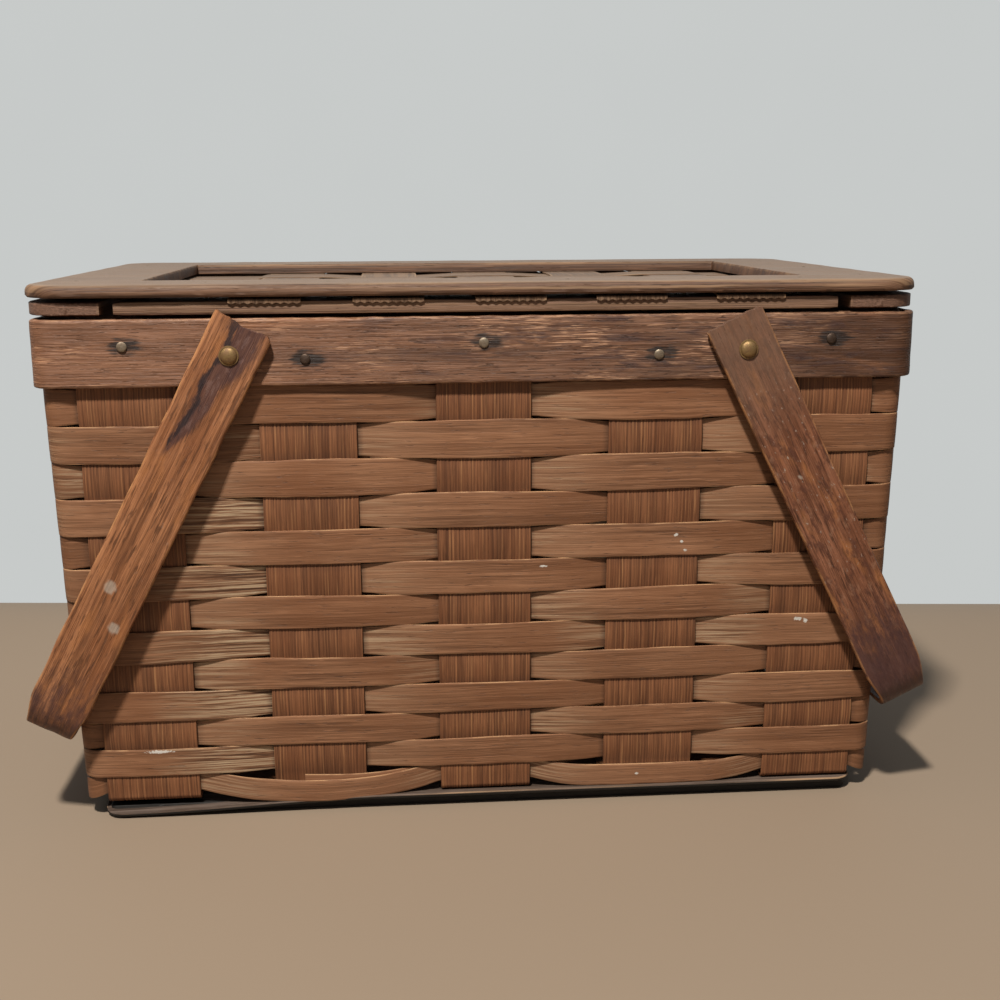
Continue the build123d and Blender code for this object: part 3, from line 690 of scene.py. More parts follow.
class Finish:
    """A material in the making: its plain colour, and what is laid over it so far."""

    def __init__(self, name, colour):
        self.material = bpy.data.materials.new(name)
        self.material.use_nodes = True
        self.tree = self.material.node_tree
        self.shader = self.tree.nodes["Principled BSDF"]
        self.colour = self.base = colour

    def node(self, kind, settings=(), sockets=()):
        """A node of any kind in this material."""
        return add(self.tree, kind, settings, sockets)

    def mark(self, label):
        """A number kept on the mesh."""
        return Value(self.tree, self.node("ShaderNodeAttribute", {"attribute_name": label}).outputs["Fac"])

    def part(self, vector, axis):
        """One coordinate of a vector."""
        return Value(self.tree, self.node("ShaderNodeSeparateXYZ", (), {"Vector": vector}).outputs[axis])

    def place(self):
        """The place on the object."""
        return self.node("ShaderNodeTexCoord").outputs["Object"]

    def stretched(self, vector, scale, offset=(0, 0, 0)):
        """A place with a scale of its own on each axis."""
        made = self.node("ShaderNodeMapping", (), {"Vector": vector, "Scale": scale, "Location": offset})
        return made.outputs["Vector"]

    def noise(self, vector, scale=1.0, detail=3.0, rough=0.55, distortion=0.0):
        """Uneven values about a half."""
        made = self.node("ShaderNodeTexNoise", (), {
            "Vector": vector, "Scale": scale, "Detail": detail, "Roughness": rough,
            "Distortion": distortion,
        })
        return Value(self.tree, made.outputs["Fac"])

    def fibres(self, along, across, offset=(0, 0, 0), detail=3.0, rough=0.55, distortion=0.0):
        """Uneven values drawn out along the grain, with their scale along and across it."""
        grain = self.node("ShaderNodeAttribute", {"attribute_name": "grain"}).outputs["Vector"]
        course = self.stretched(grain, (along, across, FACE_SCALE), offset)
        return self.noise(course, 1.0, detail, rough, distortion)

    def blend(self, factor, first, second):
        """A colour between two others."""
        made = self.node(
            "ShaderNodeMix",
            {"data_type": "RGBA", "blend_type": "MIX", "clamp_factor": True},
            {0: factor, 6: paint(first), 7: paint(second)},
        )
        return made.outputs[2]

    def lay(self, factor, colour, warmth=0.0):
        """Lays a colour over what is there, or a shade of the plain colour given by its factor."""
        if isinstance(colour, float):
            colour = shade(self.colour, colour, warmth)
        self.base = self.blend(factor, self.base, colour)

    def worn_edge(self, start, end, mask, factor, colour):
        """Lays a light worn line along the edges, its width in millimetres."""
        wear = (1 - self.mark("edge").between(start * MM, end * MM)) * mask
        self.lay(wear * factor, colour)

    def dots(self, places):
        """Small ragged marks at places on the front, given as x, z, half length and slimness."""
        ragged = self.noise(self.place(), 900.0, 2.0)
        total = 0.0
        for x, z, size, slim in places:
            vector = self.place()
            for operation, other in (
                ("SUBTRACT", (x, 0.0, z)), ("MULTIPLY", (1 / size, 0.0, slim / size)), ("LENGTH", None),
            ):
                sockets = {0: vector} if other is None else {0: vector, 1: other}
                made = self.node("ShaderNodeVectorMath", {"operation": operation}, sockets)
                vector = made.outputs[0]
            distance = Value(self.tree, made.outputs["Value"])
            total = (1 - (distance + (ragged - 0.5) * 1.6).between(0.5, 1.0)) + total
        return (total * (0 - self.part(self.place(), "Y")).between(0.10, 0.12)).held()

    def wood(self, fibre, streaks, clouds, pores, flecks, worn=0.5):
        """Long grained wood: fibres, bands, clouds, dark pores and light flecks along the grain."""
        fine = self.fibres(34, 2400, (0, 0, 0), 3.0, 0.62)
        bands = self.fibres(11, 560, (0, 0, 0), 4.0, 0.66, 0.5)
        broad = self.fibres(3.5, 95, (0, 0, 0), 2.0)
        cloud = self.fibres(22, 60, (0, 0, 0), 4.0, 0.64)
        tone = 0.5 + (fine - 0.5) * (1.3 * fibre) + (bands - 0.5) * (2.3 * streaks)
        tone = tone + (broad - 0.5) * (1.3 * streaks)
        dark, light = shade(self.colour, 0.44, 0.12), shade(self.colour, 1.58, -0.05)
        self.base = self.blend(tone.between(0.17, 0.83), dark, light)
        self.lay(cloud.between(0.34, 0.70) * (0.55 * clouds), 0.68, 0.18)
        less = 0.05 * worn
        pore = self.fibres(85, 1200, (3, 7, 1), 2.0).between(0.66 - less, 0.73 - less) * pores
        self.lay(pore, 0.20, 0.12)
        fleck = self.fibres(60, 1150, (9, 2, 5), 1.5).between(0.68 - less, 0.75 - less) * flecks
        self.lay(fleck, 2.2, -0.06)
        height = (fine - 0.5) * 0.7 + (bands - 0.5) * 0.9 - pore * 0.8 + fleck * 0.3
        return height, tone

    def surface(self, roughness, height, depth, more=()):
        """Ends the material: what is laid, its roughness and its relief, and more of its own sockets."""
        bump = self.node("ShaderNodeBump", (), {"Height": height, "Distance": depth, "Strength": 1.0})
        ends = {"Base Color": self.base, "Roughness": roughness, "Normal": bump.outputs["Normal"]}
        for label, value in {**ends, **dict(more)}.items():
            feed(self.tree, self.shader.inputs[label], value)
        return self.material


def weaver_wood():
    """Split weavers: streaky, weathered towards the ends of a pass, with light worn edges, painted light
    and shade along each pass, and painted shade behind the uprights.
    """
    finish = Finish("Weaver splint", basket().colours.weaver)
    height, tone = finish.wood(0.75, 0.62, 1.1, 0.6, 0.4, 0.6)
    tint, facing, weathered = (finish.mark(label) for label in ("tint", "facing", "weathered"))
    finish.lay(tint.between(0.35, 1.0) * 0.45, 0.66, 0.22)
    finish.lay((0 - tint).between(0.2, 1.0) * 0.45, 1.35, -0.06)
    # Painted light and shade: lighter and greyer where a pass turns towards the light at its left end,
    # darker and warmer at its right end and round the front right corner.
    finish.lay(facing.between(0.1, 1.0) * 0.55, 1.45, -0.10)
    finish.lay((0 - facing).between(0.0, 1.0) * 0.42, 0.66, 0.14)
    streak = finish.fibres(15, 760, (4, 4, 4), 4.0, 0.66, 0.6)
    patchy = finish.fibres(34, 130, (1, 9, 4))
    level = (weathered + (patchy - 0.5) * 1.1).held() * weathered.between(0.0, 0.25)
    finish.lay(streak.between(0.46, 0.60) * level * 0.9, (0.45, 0.325, 0.205))
    finish.lay((0.49 - streak).between(0.0, 0.08) * level * 0.85, 0.22, 0.05)
    finish.worn_edge(0.15, 0.55, finish.fibres(60, 60).between(0.42, 0.62), 0.75, (0.47, 0.27, 0.135))
    # Painted shade: dark where a pass runs inside, behind the uprights.
    finish.lay(finish.mark("painted_shade") * 0.8, (0.020, 0.010, 0.006))
    finish.lay(finish.dots(WEAVER_SPECKS), (0.60, 0.57, 0.52))
    return finish.surface(0.60 + (tone - 0.5) * 0.18, height, 0.26 * MM, {SHINE: 0.42})


def upright_wood():
    """Ribbed uprights: redder wood with dark lines in the grooves, pale worn ribs and painted shade where
    the rows meet them.
    """
    finish = Finish("Upright splint", basket().colours.stake)
    height, tone = finish.wood(0.9, 0.42, 1.0, 0.3, 0.2)
    groove = finish.mark("groove")
    finish.lay(groove.between(0.30, 0.85) * 0.60, 0.34, 0.12)
    crest = (1 - groove.between(0.0, 0.14)) * finish.fibres(22, 900, (1, 5, 2), 2.0).between(0.48, 0.66)
    finish.lay(crest * 0.62, (0.42, 0.21, 0.085))
    # Painted shade along the lines between rows.
    finish.lay(finish.mark("painted_shade") * 0.75, (0.022, 0.010, 0.006))
    return finish.surface(0.66 + (tone - 0.5) * 0.1, height, 0.2 * MM)


def rim_wood():
    """The rim: a thick old band with scratches, dark streaks and halos round its nails."""
    finish = Finish("Rim wood", basket().colours.rim)
    height, tone = finish.wood(0.9, 0.9, 1.2, 0.75, 0.0, 1.3)
    scuffed = finish.fibres(17, 70, (3, 3, 7), 2.0)
    scratch = finish.fibres(70, 1500, (2, 6, 6), 2.0)
    finish.lay(scratch.between(0.54, 0.61) * scuffed.between(0.44, 0.58) * 0.95, (0.50, 0.28, 0.165))
    stain = finish.fibres(7, 60, (2, 8, 6), 4.0, 0.62, 0.8)
    finish.lay(stain.between(0.48, 0.64) * 0.7, 0.30, 0.10)
    # Lighter towards the left end and darker towards the right end, with dark patches over the right part.
    along = finish.part(finish.place(), "X")
    finish.lay((0 - along).between(-0.10, 0.22) * 0.35, 1.9, 0.06)
    finish.lay(along.between(0.13, 0.19) * 0.72, 0.28, 0.34)
    warm = finish.fibres(9, 80, (7, 1, 9), 3.0, 0.6, 0.5)
    finish.lay(warm.between(0.54, 0.72) * 0.55, (0.33, 0.14, 0.062))
    dark_patches = finish.fibres(26, 110, (5, 5, 2), 4.0, 0.66, 0.6)
    finish.lay(dark_patches.between(0.50, 0.64) * (along + 0.16).between(0.0, 0.2) * 0.72, (0.050, 0.023, 0.020))
    halo = finish.mark("halo")
    ragged = finish.fibres(120, 420)
    tail = finish.fibres(45, 900, (8, 8, 1), 2.0)
    soot = (halo * 1.15 + (ragged - 0.5) * 1.3 + (tail - 0.5) * 1.6).between(0.55, 1.15)
    finish.lay(soot * halo.between(0.0, 0.15) * 0.92, (0.012, 0.008, 0.007))
    finish.worn_edge(0.3, 1.6, ragged.between(0.45, 0.65), 0.6, (0.40, 0.22, 0.12))
    return finish.surface(0.55 + (tone - 0.5) * 0.2, height + dark_patches * 0.8, 0.50 * MM, {SHINE: 0.45})


def handle_wood(name, colour, roughness, blotch):
    """A handle: short dashes along the grain, stains, painted shade towards the grip, worn light edges and
    old paint specks.
    """
    finish = Finish(name, colour)
    height, tone = finish.wood(0.9, 0.8, 1.2, 0.4, 0.35)
    finish.lay(finish.fibres(75, 560, (6, 6, 6), 2.0).between(0.55, 0.65) * 0.8, 0.30, 0.12)
    finish.lay(finish.fibres(30, 120, (5, 2, 8)).between(0.52, 0.70) * 0.55, (0.40, 0.155, 0.05))
    blister = finish.fibres(75, 190, (8, 3, 3), 4.0, 0.68)
    finish.lay(blister.between(0.50, 0.64) * blotch, (0.080, 0.026, 0.015))
    raised = finish.fibres(110, 260, (2, 9, 5), 4.0, 0.66)
    finish.lay(raised.between(0.54, 0.68) * blotch * 0.7, (0.29, 0.145, 0.085))
    finish.lay(finish.mark("greyed") * (0.45 + raised * 0.5), (0.160, 0.092, 0.060))
    crumb = finish.fibres(260, 480, (1, 3, 7), 3.0, 0.6)
    finish.lay(crumb.between(0.63, 0.71) * finish.mark("scuff") * blotch, (0.40, 0.31, 0.25))
    stain, crack = finish.mark("stain"), finish.mark("crack")
    torn = finish.fibres(60, 190, (0, 0, 0), 4.0, 0.6, 0.7)
    fray = finish.fibres(130, 330, (2, 2, 9), 4.0, 0.65)
    soaked = (stain * 1.5 + (torn - 0.5) * 1.3 + (fray - 0.5) * 1.2).between(0.30, 1.05)
    # The stain mark darkens the real stains and, from low on the front arm onwards, paints shade.
    finish.lay(soaked * stain.between(0.02, 0.2) * 0.82, (0.056, 0.023, 0.023))
    bloom = (fray + stain * 0.2).between(0.66, 0.80) * stain.between(0.5, 0.9)
    finish.lay(bloom * 0.32 * (1 - blotch), (0.26, 0.16, 0.14))
    split = (crack * 1.35 + (fray - 0.5) * 2.2 + (torn - 0.5) * 1.6).between(0.40, 1.05)
    finish.lay(split * crack.between(0.02, 0.3) * 0.85, (0.014, 0.008, 0.011))
    finish.worn_edge(0.3, 1.4, torn.between(0.40, 0.58), 0.7, (0.50, 0.24, 0.095))
    finish.lay(finish.mark("speck").between(0.1, 0.8) * (0.30 + fray * 0.6), (0.44, 0.37, 0.30))
    relief = height + blister * (1.6 * blotch)
    return finish.surface(roughness + (tone - 0.5) * 0.15, relief, 0.45 * MM)


def lid_wood(name, colour, dust_and_sheen, depth, worn=0.5, painted_underside_shade=0.0):
    """The lid's and base's boards: plain long grain, dust with a painted sheen on what faces up, painted
    shade underneath.
    """
    finish = Finish(name, colour)
    height, tone = finish.wood(0.9, 1.1, 1.0, 0.5, 0.4)
    streak = finish.fibres(6, 210, (6, 1, 2), 3.0, 0.6, 0.5)
    finish.lay(streak.between(0.56, 0.68) * 0.6, 0.32, 0.08)
    finish.worn_edge(0.3, 1.8, streak.between(0.42, 0.58), worn, (0.42, 0.26, 0.14))
    face = finish.mark("face")
    # Dust and painted sheen: a greyish film on the up-facing top faces.
    if dust_and_sheen:
        up = finish.part(finish.node("ShaderNodeNewGeometry").outputs["Normal"], "Z")
        film = finish.noise(finish.stretched(finish.place(), (30, 60, 30)), 1.0, 4.0)
        lying = face.between(0.4, 0.6) * (film * 0.5 + 0.5)
        finish.lay(lying * up.between(0.80, 0.995) * dust_and_sheen, (0.25, 0.19, 0.143))
    # Painted shadow: the lower part of the edges and the underside darkened nearly to black.
    if painted_underside_shade:
        finish.lay((1 - face.between(0.55, 0.90)) * painted_underside_shade, (0.006, 0.005, 0.005))
    return finish.surface(0.62 + (tone - 0.5) * 0.2, height, depth)


def metal(name, colour, patina, roughness, metallic, grain_size, rusted=()):
    """Old metal: a worn sheen with patina in patches and fine scratches, dark with rust at places."""
    finish = Finish(name, colour)
    patch = finish.noise(finish.place(), grain_size, 4.0, 0.6)
    fine = finish.noise(finish.place(), grain_size * 5, 3.0)
    finish.lay(patch.between(0.40, 0.66), patina)
    finish.lay(fine.between(0.52, 0.75) * 0.5, shade(patina, 0.4))
    if rusted:
        finish.lay(finish.dots(rusted) * 0.94, (0.052, 0.030, 0.020))
    sheen = metallic - patch.between(0.45, 0.70) * 0.45
    return finish.surface(roughness + (patch - 0.5) * 0.5, fine, 0.08 * MM, {"Metallic": sheen})


def plain_finish(name, colour, roughness, glow=0.0):
    """A plain matt surface with the faintest mottle, for the floor and the backdrop."""
    finish = Finish(name, shade(colour, 0.98))
    mottle = finish.noise(finish.place(), 3.0, 2.0)
    finish.lay(mottle, shade(colour, 1.02))
    more = {SHINE: 0.25}
    if glow:
        more.update({"Emission Color": finish.base, "Emission Strength": glow})
        finish.base = paint(shade(colour, 0.02))
    return finish.surface(roughness, mottle, 0.01 * MM, more)


# Woven wall

WEAVER_SPECKS = (
    (0.031, 0.1345, 2.6 * MM, 3.5), (0.101, 0.1500, 1.5 * MM, 1.5), (0.104, 0.1462, 1.0 * MM, 1.2),
    (0.106, 0.1415, 1.3 * MM, 1.6), (0.169, 0.1015, 2.6 * MM, 2.0), (0.173, 0.1005, 1.4 * MM, 1.0),
    (0.083, 0.0145, 1.1 * MM, 1.5), (-0.196, 0.1800, 0.9 * MM, 1.2), (-0.1735, 0.0372, 8.5 * MM, 9.0),
)

ROWS = nodes_named("weaver_")
CROSS_STAKES = nodes_named("stake_cross_")
LONG_STAKES = nodes_named("stake_long_")
UPRIGHTS = 2 * (len(CROSS_STAKES) + len(LONG_STAKES))
RIM_TOP = high("rim_band_outer", 2)
RIM_BOTTOM = low("rim_band_outer", 2)
WALL_LEAN = (high(ROWS[0], 1) - high(ROWS[-2], 1)) / (middle(ROWS[0], 2) - middle(ROWS[-2], 2))
CORNER = 8 * MM  # radius of a weaver's bends at the basket's corners


def wall_line(z):
    """Half length and half depth of the uprights' middle line at a height."""
    inward = basket().weave.stake_thick / 2 + WALL_LEAN * max(0.0, RIM_BOTTOM - z)
    return high(LONG_STAKES[0], 0) - inward, high(CROSS_STAKES[0], 1) - inward


def row_lines():
    """Heights of the lines between rows, from the rim down to the bottom row's upper edge."""
    return [RIM_BOTTOM] + [(low(a, 2) + high(b, 2)) / 2 for a, b in zip(ROWS, ROWS[1:])]


def upright_runs(half_x, half_y):
    """Where the uprights' middles lie along a weaver, with their numbers from the front's left."""
    arc, left, deep = CORNER * pi / 2, half_x - CORNER, half_y - CORNER
    front = left + 2 * arc + 2 * deep
    right = front + 2 * left + arc
    back = right + 2 * deep + arc
    xs = [middle(node, 0) for node in CROSS_STAKES]
    ys = [middle(node, 1) for node in LONG_STAKES]
    runs = [front + left + x for x in xs] + [right + deep + y for y in ys]
    runs += [back + left - x if x > 0 else -x for x in reversed(xs)]
    runs += [left + arc + deep - y for y in reversed(ys)]
    return sorted((run, number) for number, run in enumerate(runs))


def weave_course(run, spots, total, row, flat_out, flat_in):
    """Along a row: +1 outside to -1 inside, the way from the next pass outside, and its upright."""
    places, numbers = (np.array(part) for part in zip(*spots))
    outside = (numbers + row) % 2 == 1
    there, inside = (
        np.concatenate([places[kind] + way * total for way in (-1, 0, 1)]) for kind in (outside, ~outside)
    )
    nearest = np.abs(run[:, None] - there[None, :]).argmin(axis=1)
    away = run - there[nearest]
    left = np.abs(run[:, None] - inside[None, :]).min(axis=1)
    t = np.clip((np.abs(away) - flat_out) / (np.abs(away) + left - flat_out - flat_in), 0, 1)
    return 1 - 2 * t ** 1.9, away, np.tile(numbers[outside], 3)[nearest]


def weaver(row, material):
    """One row of the wall: a closed ring in and out of the uprights."""
    weave, node, lines = basket().weave, ROWS[row], row_lines()
    random = draws(node)
    bottom, last = row == len(ROWS) - 1, row == len(ROWS) - 2
    height = middle(node, 2)
    half_x, half_y = wall_line(height)
    points, normals, run, total = rounded_loop(half_x, half_y, CORNER, 3 * MM)
    spots = upright_runs(half_x, half_y)
    side, away, number = weave_course(
        run, spots, total, row, weave.stake_flat + 4 * MM, weave.stake_flat - 0.6 * MM
    )
    over, dive = ease(side, 0.0, 1.0), ease(-side, -0.5, 1.0)
    hangs = bottom & (number == 1)
    crown = np.cos(np.clip(away / (62 * MM), -1, 1) * pi / 2) ** 2
    ends = np.abs(normals[:, 0]) > 0.5
    proud = np.where(ends, 0.12 * MM, np.where(hangs, 2.7 * MM, weave.bulge)) * crown
    offset_out = weave.stake_thick / 2 + 0.35 * MM + weave.splint_thick / 2 - weave.sway
    offset = side * offset_out + proud + waves(run, total, 60 * MM, 0.06 * MM, random)
    above, under = (
        waves(run, total, 95 * MM, weave.wobble, draws(f"line {k}")) * (k > 0) for k in (row, row + 1)
    )
    swell = weave.swell * over - 1.05 * MM * dive
    if bottom:
        width = high(node, 2) - low(node, 2) - weave.bottom_lift
        centre = low(node, 2) + width / 2 + weave.bottom_lift * (1 - side) / 2
        centre = centre - np.where(hangs, 2.2 * MM, 0.3 * MM) * crown
        top = centre + width / 2 + waves(run, total, 80 * MM, 0.3 * MM, random)
        foot = centre - width / 2 + 0.8 * MM * dive
    else:
        top = lines[row] + above - weave.row_gap / 2 + swell
        below = low(node, 2) - weave.row_gap / 2 if last else lines[row + 1] + under
        foot = below + weave.row_gap / 2 - swell * (0.5 if last else 1.0)
    top, foot = (edge + waves(run, total, 22 * MM, 0.12 * MM, random) for edge in (top, foot))
    if row == 0:
        top = np.minimum(top, RIM_BOTTOM - 0.15 * MM)
    half, z = (top - foot) / 2, (top + foot) / 2
    lean = (z - height) * WALL_LEAN
    line = np.column_stack([points + normals * (offset + lean)[:, None], z])
    out = unit(np.column_stack([normals, np.full(len(z), -WALL_LEAN)]))
    wide = unit(np.column_stack([normals * WALL_LEAN, np.ones(len(z))]))
    across, outer, inner = section(
        half, (0, 0.12, 0.4, 1.1), 5, weave.splint_thick, 0.42 * MM, 0.42 * MM
    )
    cup = (across / half[:, None]) ** 2 * 0.12 * MM
    mood = draws(node + " mood").uniform(-1, 1, UPRIGHTS)
    worn = draws(node + " worn").uniform(0.0, 1.0, UPRIGHTS)[number] ** 2
    left_end = ease(-away, 16 * MM, 60 * MM) * (0.25 + 0.55 * worn)
    right_end = ease(away, 22 * MM, 62 * MM) * worn * 0.6
    right_end = np.where((number == 0) & (row > 2), ease(away, -14 * MM, 50 * MM), right_end)
    corner = ease(points[:, 0], half_x - 20 * MM, half_x - 12 * MM) * (points[:, 1] < -80 * MM)
    marks = {
        "tint": np.interp(run, [place for place, _ in spots], mood, period=total),
        "weathered": np.maximum(left_end, right_end) * (1 - corner * 0.85),
        # Painted shade behind the uprights, where a pass runs inside.
        "painted_shade": (1 - ease(side, -1.0, -0.82)) * 0.7,
        # Painted light and shade: positive at the left end of each pass, negative at its right end and at
        # the front right corner.
        "facing": -away / (60 * MM) * (1 - corner) - 0.8 * corner,
    }
    if bottom:
        seen = (points[:, 1] < 0) & (points[:, 0] > -100 * MM) & (points[:, 0] < -34 * MM)
        seen_marks = {label: values[seen] for label, values in marks.items()}
        weaver_lap(node, (line[seen], wide[seen], out[seen]), half[seen], seen_marks, material)
    behind = np.where((side < -0.999) & (points[:, 1] > half_y - MM), np.abs(points[:, 0]), 9)
    start = -int(behind.argmin())
    rolled = [np.roll(part, start, 0) for part in (line, wide, out, across, outer - cup, inner - cup)]
    marks = {label: np.roll(values, start, 0) for label, values in marks.items()}
    piece = strip(node + "_splint", rolled[:3], rolled[3:], row * 1.7, True, 0.0, marks)
    settle(piece, material, node)


def weaver_lap(node, course, half, marks, material):
    """The bottom row's other end, which laps over in front and narrows to nothing."""
    line, wide, out = course
    top = half + 3.0 * MM * (1 - np.linspace(0, 1, len(half))) ** 0.7 + 0.2 * MM
    foot = half - 4 * MM
    line = line + wide * ((top + foot) / 2)[:, None] - out * 1.15 * MM
    thick = basket().weave.splint_thick * 0.8
    shape = section((top - foot) / 2, (0, 0.12, 0.4), 5, thick, 0.4 * MM, 0.4 * MM)
    piece = strip(node + "_lap", (line, wide, out), shape, 41.0, marks=marks)
    finish_piece(piece, material, node)


class BASKET_OT_weavers(bpy.types.Operator):
    """Weave the thirteen rows of the wall"""

    bl_idname = "basket.weavers"
    bl_label = "Weavers"

    def execute(self, context):
        material = weaver_wood()
        for row in range(len(ROWS)):
            weaver(row, material)
        return {"FINISHED"}


# Uprights

def stake_line(node, along):
    """An upright's line down one wall, along the bottom and up the other, as (way, height)."""
    thick = basket().weave.stake_thick
    kin, crossed = (CROSS_STAKES, LONG_STAKES) if along else (LONG_STAKES, CROSS_STAKES)
    layer = low(CROSS_STAKES[0], 2) + thick / 2
    flat = half_size(crossed[0], along) + thick
    bottom = []
    for j, other in enumerate(crossed):
        z = layer + thick + 0.1 * MM if (kin.index(node) + j) % 2 == along else layer
        bottom += [(middle(other, along) - flat, z), (middle(other, along) + flat, z)]
    if along:
        shoulder = bottom[-1][0] + 6 * MM
        bottom = [(-shoulder, layer)] + bottom + [(shoulder, layer)]
        end_z = layer
    else:
        end_z = bottom[0][1]
        bottom = bottom[1:-1]
    rim, foot = wall_line(RIM_BOTTOM)[along], wall_line(end_z)[along]
    wall = [(foot, end_z), (rim, RIM_BOTTOM), (rim, high(node, 2))]
    return [(-way, z) for way, z in reversed(wall)] + bottom + wall


def sway_at(z, number):
    """How far an upright bows out at a height, away from the weavers that pass outside it."""
    centres = np.array([middle(node, 2) for node in ROWS])
    sides = np.array([-1.0 if (number + row) % 2 else 1.0 for row in range(len(ROWS))])
    give = np.interp(z, centres[::-1], sides[::-1])
    above_foot = ease(z, centres[-1] - 4 * MM, centres[-1] + 6 * MM)
    below_rim = 1 - ease(z, centres[0], RIM_BOTTOM - 2 * MM)
    return np.sin(give * pi / 2) * basket().weave.sway * (above_foot * below_rim)


def upright(node, tree, material):
    """A ribbed upright, bent under the bottom and up the other side."""
    weave = basket().weave
    random = draws(node)
    along = int(node in CROSS_STAKES)
    corners = stake_line(node, along)
    radii = [3 * MM if abs(z - before) > 20 * MM else 8 * MM
             for (_, z), (_, before) in zip(corners, corners[-1:] + corners)]
    path = bent_line(corners, radii, 4.4 * MM)
    order = (CROSS_STAKES if along else LONG_STAKES).index(node)
    first = order if along else UPRIGHTS - 1 - order
    last = UPRIGHTS - 1 - len(LONG_STAKES) - order if along else len(CROSS_STAKES) + order
    wall = path[:, 1] > 12 * MM
    sway = np.where(path[:, 0] < 0, -sway_at(path[:, 1], first), sway_at(path[:, 1], last))
    path[:, 0] += sway * wall
    line, wide = laid(path, along, middle(node, 1 - along))
    out = outward(line, wide, (0, 0, 0.12))
    half = half_size(node, 1 - along) - 0.15 * MM
    half = half + waves(np.linspace(0, 1, len(path)), 1.0, 0.06, 0.12 * MM, random)
    # Painted shade along the lines between rows, where the weavers meet the upright.
    painted_shade = np.zeros(len(path))
    for level in row_lines()[1:]:
        near = 1 - ease(np.abs(path[:, 1] - level), 0.0, 3.2 * MM)
        painted_shade = np.maximum(painted_shade, near * (path[:, 1] < RIM_BOTTOM))
    shape = section(half, (0, 0.15, 0.45), 98, weave.stake_thick, 0.45 * MM, 0.45 * MM)
    piece = strip(
        node + "_ribbed", (line, wide, out), shape, random.uniform(0, 9), marks={"painted_shade": painted_shade * 0.4}
    )
    grown(piece, tree, {
        "Pitch": weave.rib_pitch, "Depth": weave.rib_depth, "Seed": random.uniform(0, 9),
        "Material": material,
    })
    settle(piece, material, node)


class BASKET_OT_uprights(bpy.types.Operator):
    """Bend and rib the uprights"""

    bl_idname = "basket.uprights"
    bl_label = "Uprights"

    def execute(self, context):
        material = upright_wood()
        tree = rib_tree()
        for node in CROSS_STAKES + LONG_STAKES:
            upright(node, tree, material)
        return {"FINISHED"}


# Rim

NAIL_RADIUS = 2.6 * MM


def nail_places():
    """The rim nails as (place, facing), one over each upright, staggered up and down."""
    stagger = half_size("rim_nails", 2) - NAIL_RADIUS
    spots = []
    for nodes, along in ((CROSS_STAKES, 0), (LONG_STAKES, 1)):
        for i, node in enumerate(nodes):
            z = (RIM_TOP + RIM_BOTTOM) / 2 + (stagger if i % 2 == 0 else -stagger)
            for side in (-1, 1):
                place, facing = np.array([0.0, 0.0, z]), np.zeros(3)
                place[along], facing[1 - along] = middle(node, along), side
                place[1 - along] = side * high("rim_band_outer", 1 - along)
                spots.append((place, facing))
    return spots


def rim_band(node, thick, outside, material):
    """A bent band that meets itself in a long tapered lap."""
    random = draws(node)
    half_x, half_y = high(node, 0) - thick / 2, high(node, 1) - thick / 2
    radius = (13 * MM if outside else 9 * MM) - thick / 2
    points, normals, run, total = rounded_loop(half_x, half_y, radius, 2.2 * MM)
    lap, hold = 46 * MM, 0.06 * MM
    again = run < lap
    points, normals = (np.concatenate([part, part[again]]) for part in (points, normals))
    run = np.concatenate([run, run[again] + total])
    bow = waves(run, total, 120 * MM, 0.25 * MM, random) * outside
    top = high(node, 2) - 0.25 * MM - np.abs(waves(run, total, 35 * MM, 0.25 * MM, random))
    foot = low(node, 2) + 0.1 * MM + np.abs(waves(run, total, 45 * MM, 0.25 * MM, random))
    z = (top + foot) / 2
    line = np.column_stack([points, z])
    out = np.column_stack([normals, 0 * z])
    wide = np.tile([0.0, 0.0, 1.0], (len(z), 1))
    across, surface, back = section(
        (top - foot) / 2, (0, 0.25, 0.8, 1.8), 15, thick, 1.1 * MM, 0.6 * MM
    )
    rough = waves(across * 3 + run[:, None], total, 30 * MM, 0.1 * MM, random)
    surface = surface + ((bow - np.abs(bow)) * 0.4)[:, None] + rough - 0.1 * MM
    depth = surface - back - hold
    opening = (1 - ease(run, 0.0, lap))[:, None] * depth
    closing = ease(run, total, total + lap)[:, None] * depth
    halo = np.zeros_like(across)
    if outside:
        outer, inner = surface - closing, back + opening
        for place, way in nail_places():
            near = (normals @ way[:2]) > 0.9
            sideways = ((points - place[:2]) @ np.array([way[1], -way[0]]))[:, None]
            stretch = np.where(sideways > 0, 0.62, 0.40)
            distance = np.hypot(sideways * stretch, z[:, None] + across - place[2])
            halo = np.maximum(halo, (1 - ease(distance, 2.2 * MM, 7.5 * MM)) * near[:, None])
    else:
        outer, inner = -back - opening, -surface + closing
    seed = 3.1 if outside else -3.1
    piece = strip(node + "_bent", (line, wide, out), (across, outer, inner), seed, marks={"halo": halo})
    settle(piece, material, node)


class BASKET_OT_rim(bpy.types.Operator):
    """Bend the two bands of the rim"""

    bl_idname = "basket.rim"
    bl_label = "Rim bands"

    def execute(self, context):
        material = rim_wood()
        rim_band("rim_band_outer", 4.4 * MM, True, material)
        rim_band("rim_band_inner", 2.6 * MM, False, material)
        return {"FINISHED"}


# Handles

LEFT_STAIN = (  # way down, stain's middle and spread, crack's middle and spread, in millimetres
    (0, 4.5, 9.5, -4.0, 2.6), (17, 3.5, 8.5, -2.5, 1.5), (34, -1.5, 6.0, -6.5, 1.4),
    (46, -1.0, 5.0, -3.7, 2.0), (68, -5.5, 3.0, -7.4, 1.1), (82, -10.0, 1.5, -12.0, 0.7),
)
SPECKS = {  # way down, sideways and size, in millimetres
    -1: ((150, -2.9, 3.2), (169, 7.5, 3.0)),
    1: ((90, -3, 1.2), (96, 5, 0.9)),
}


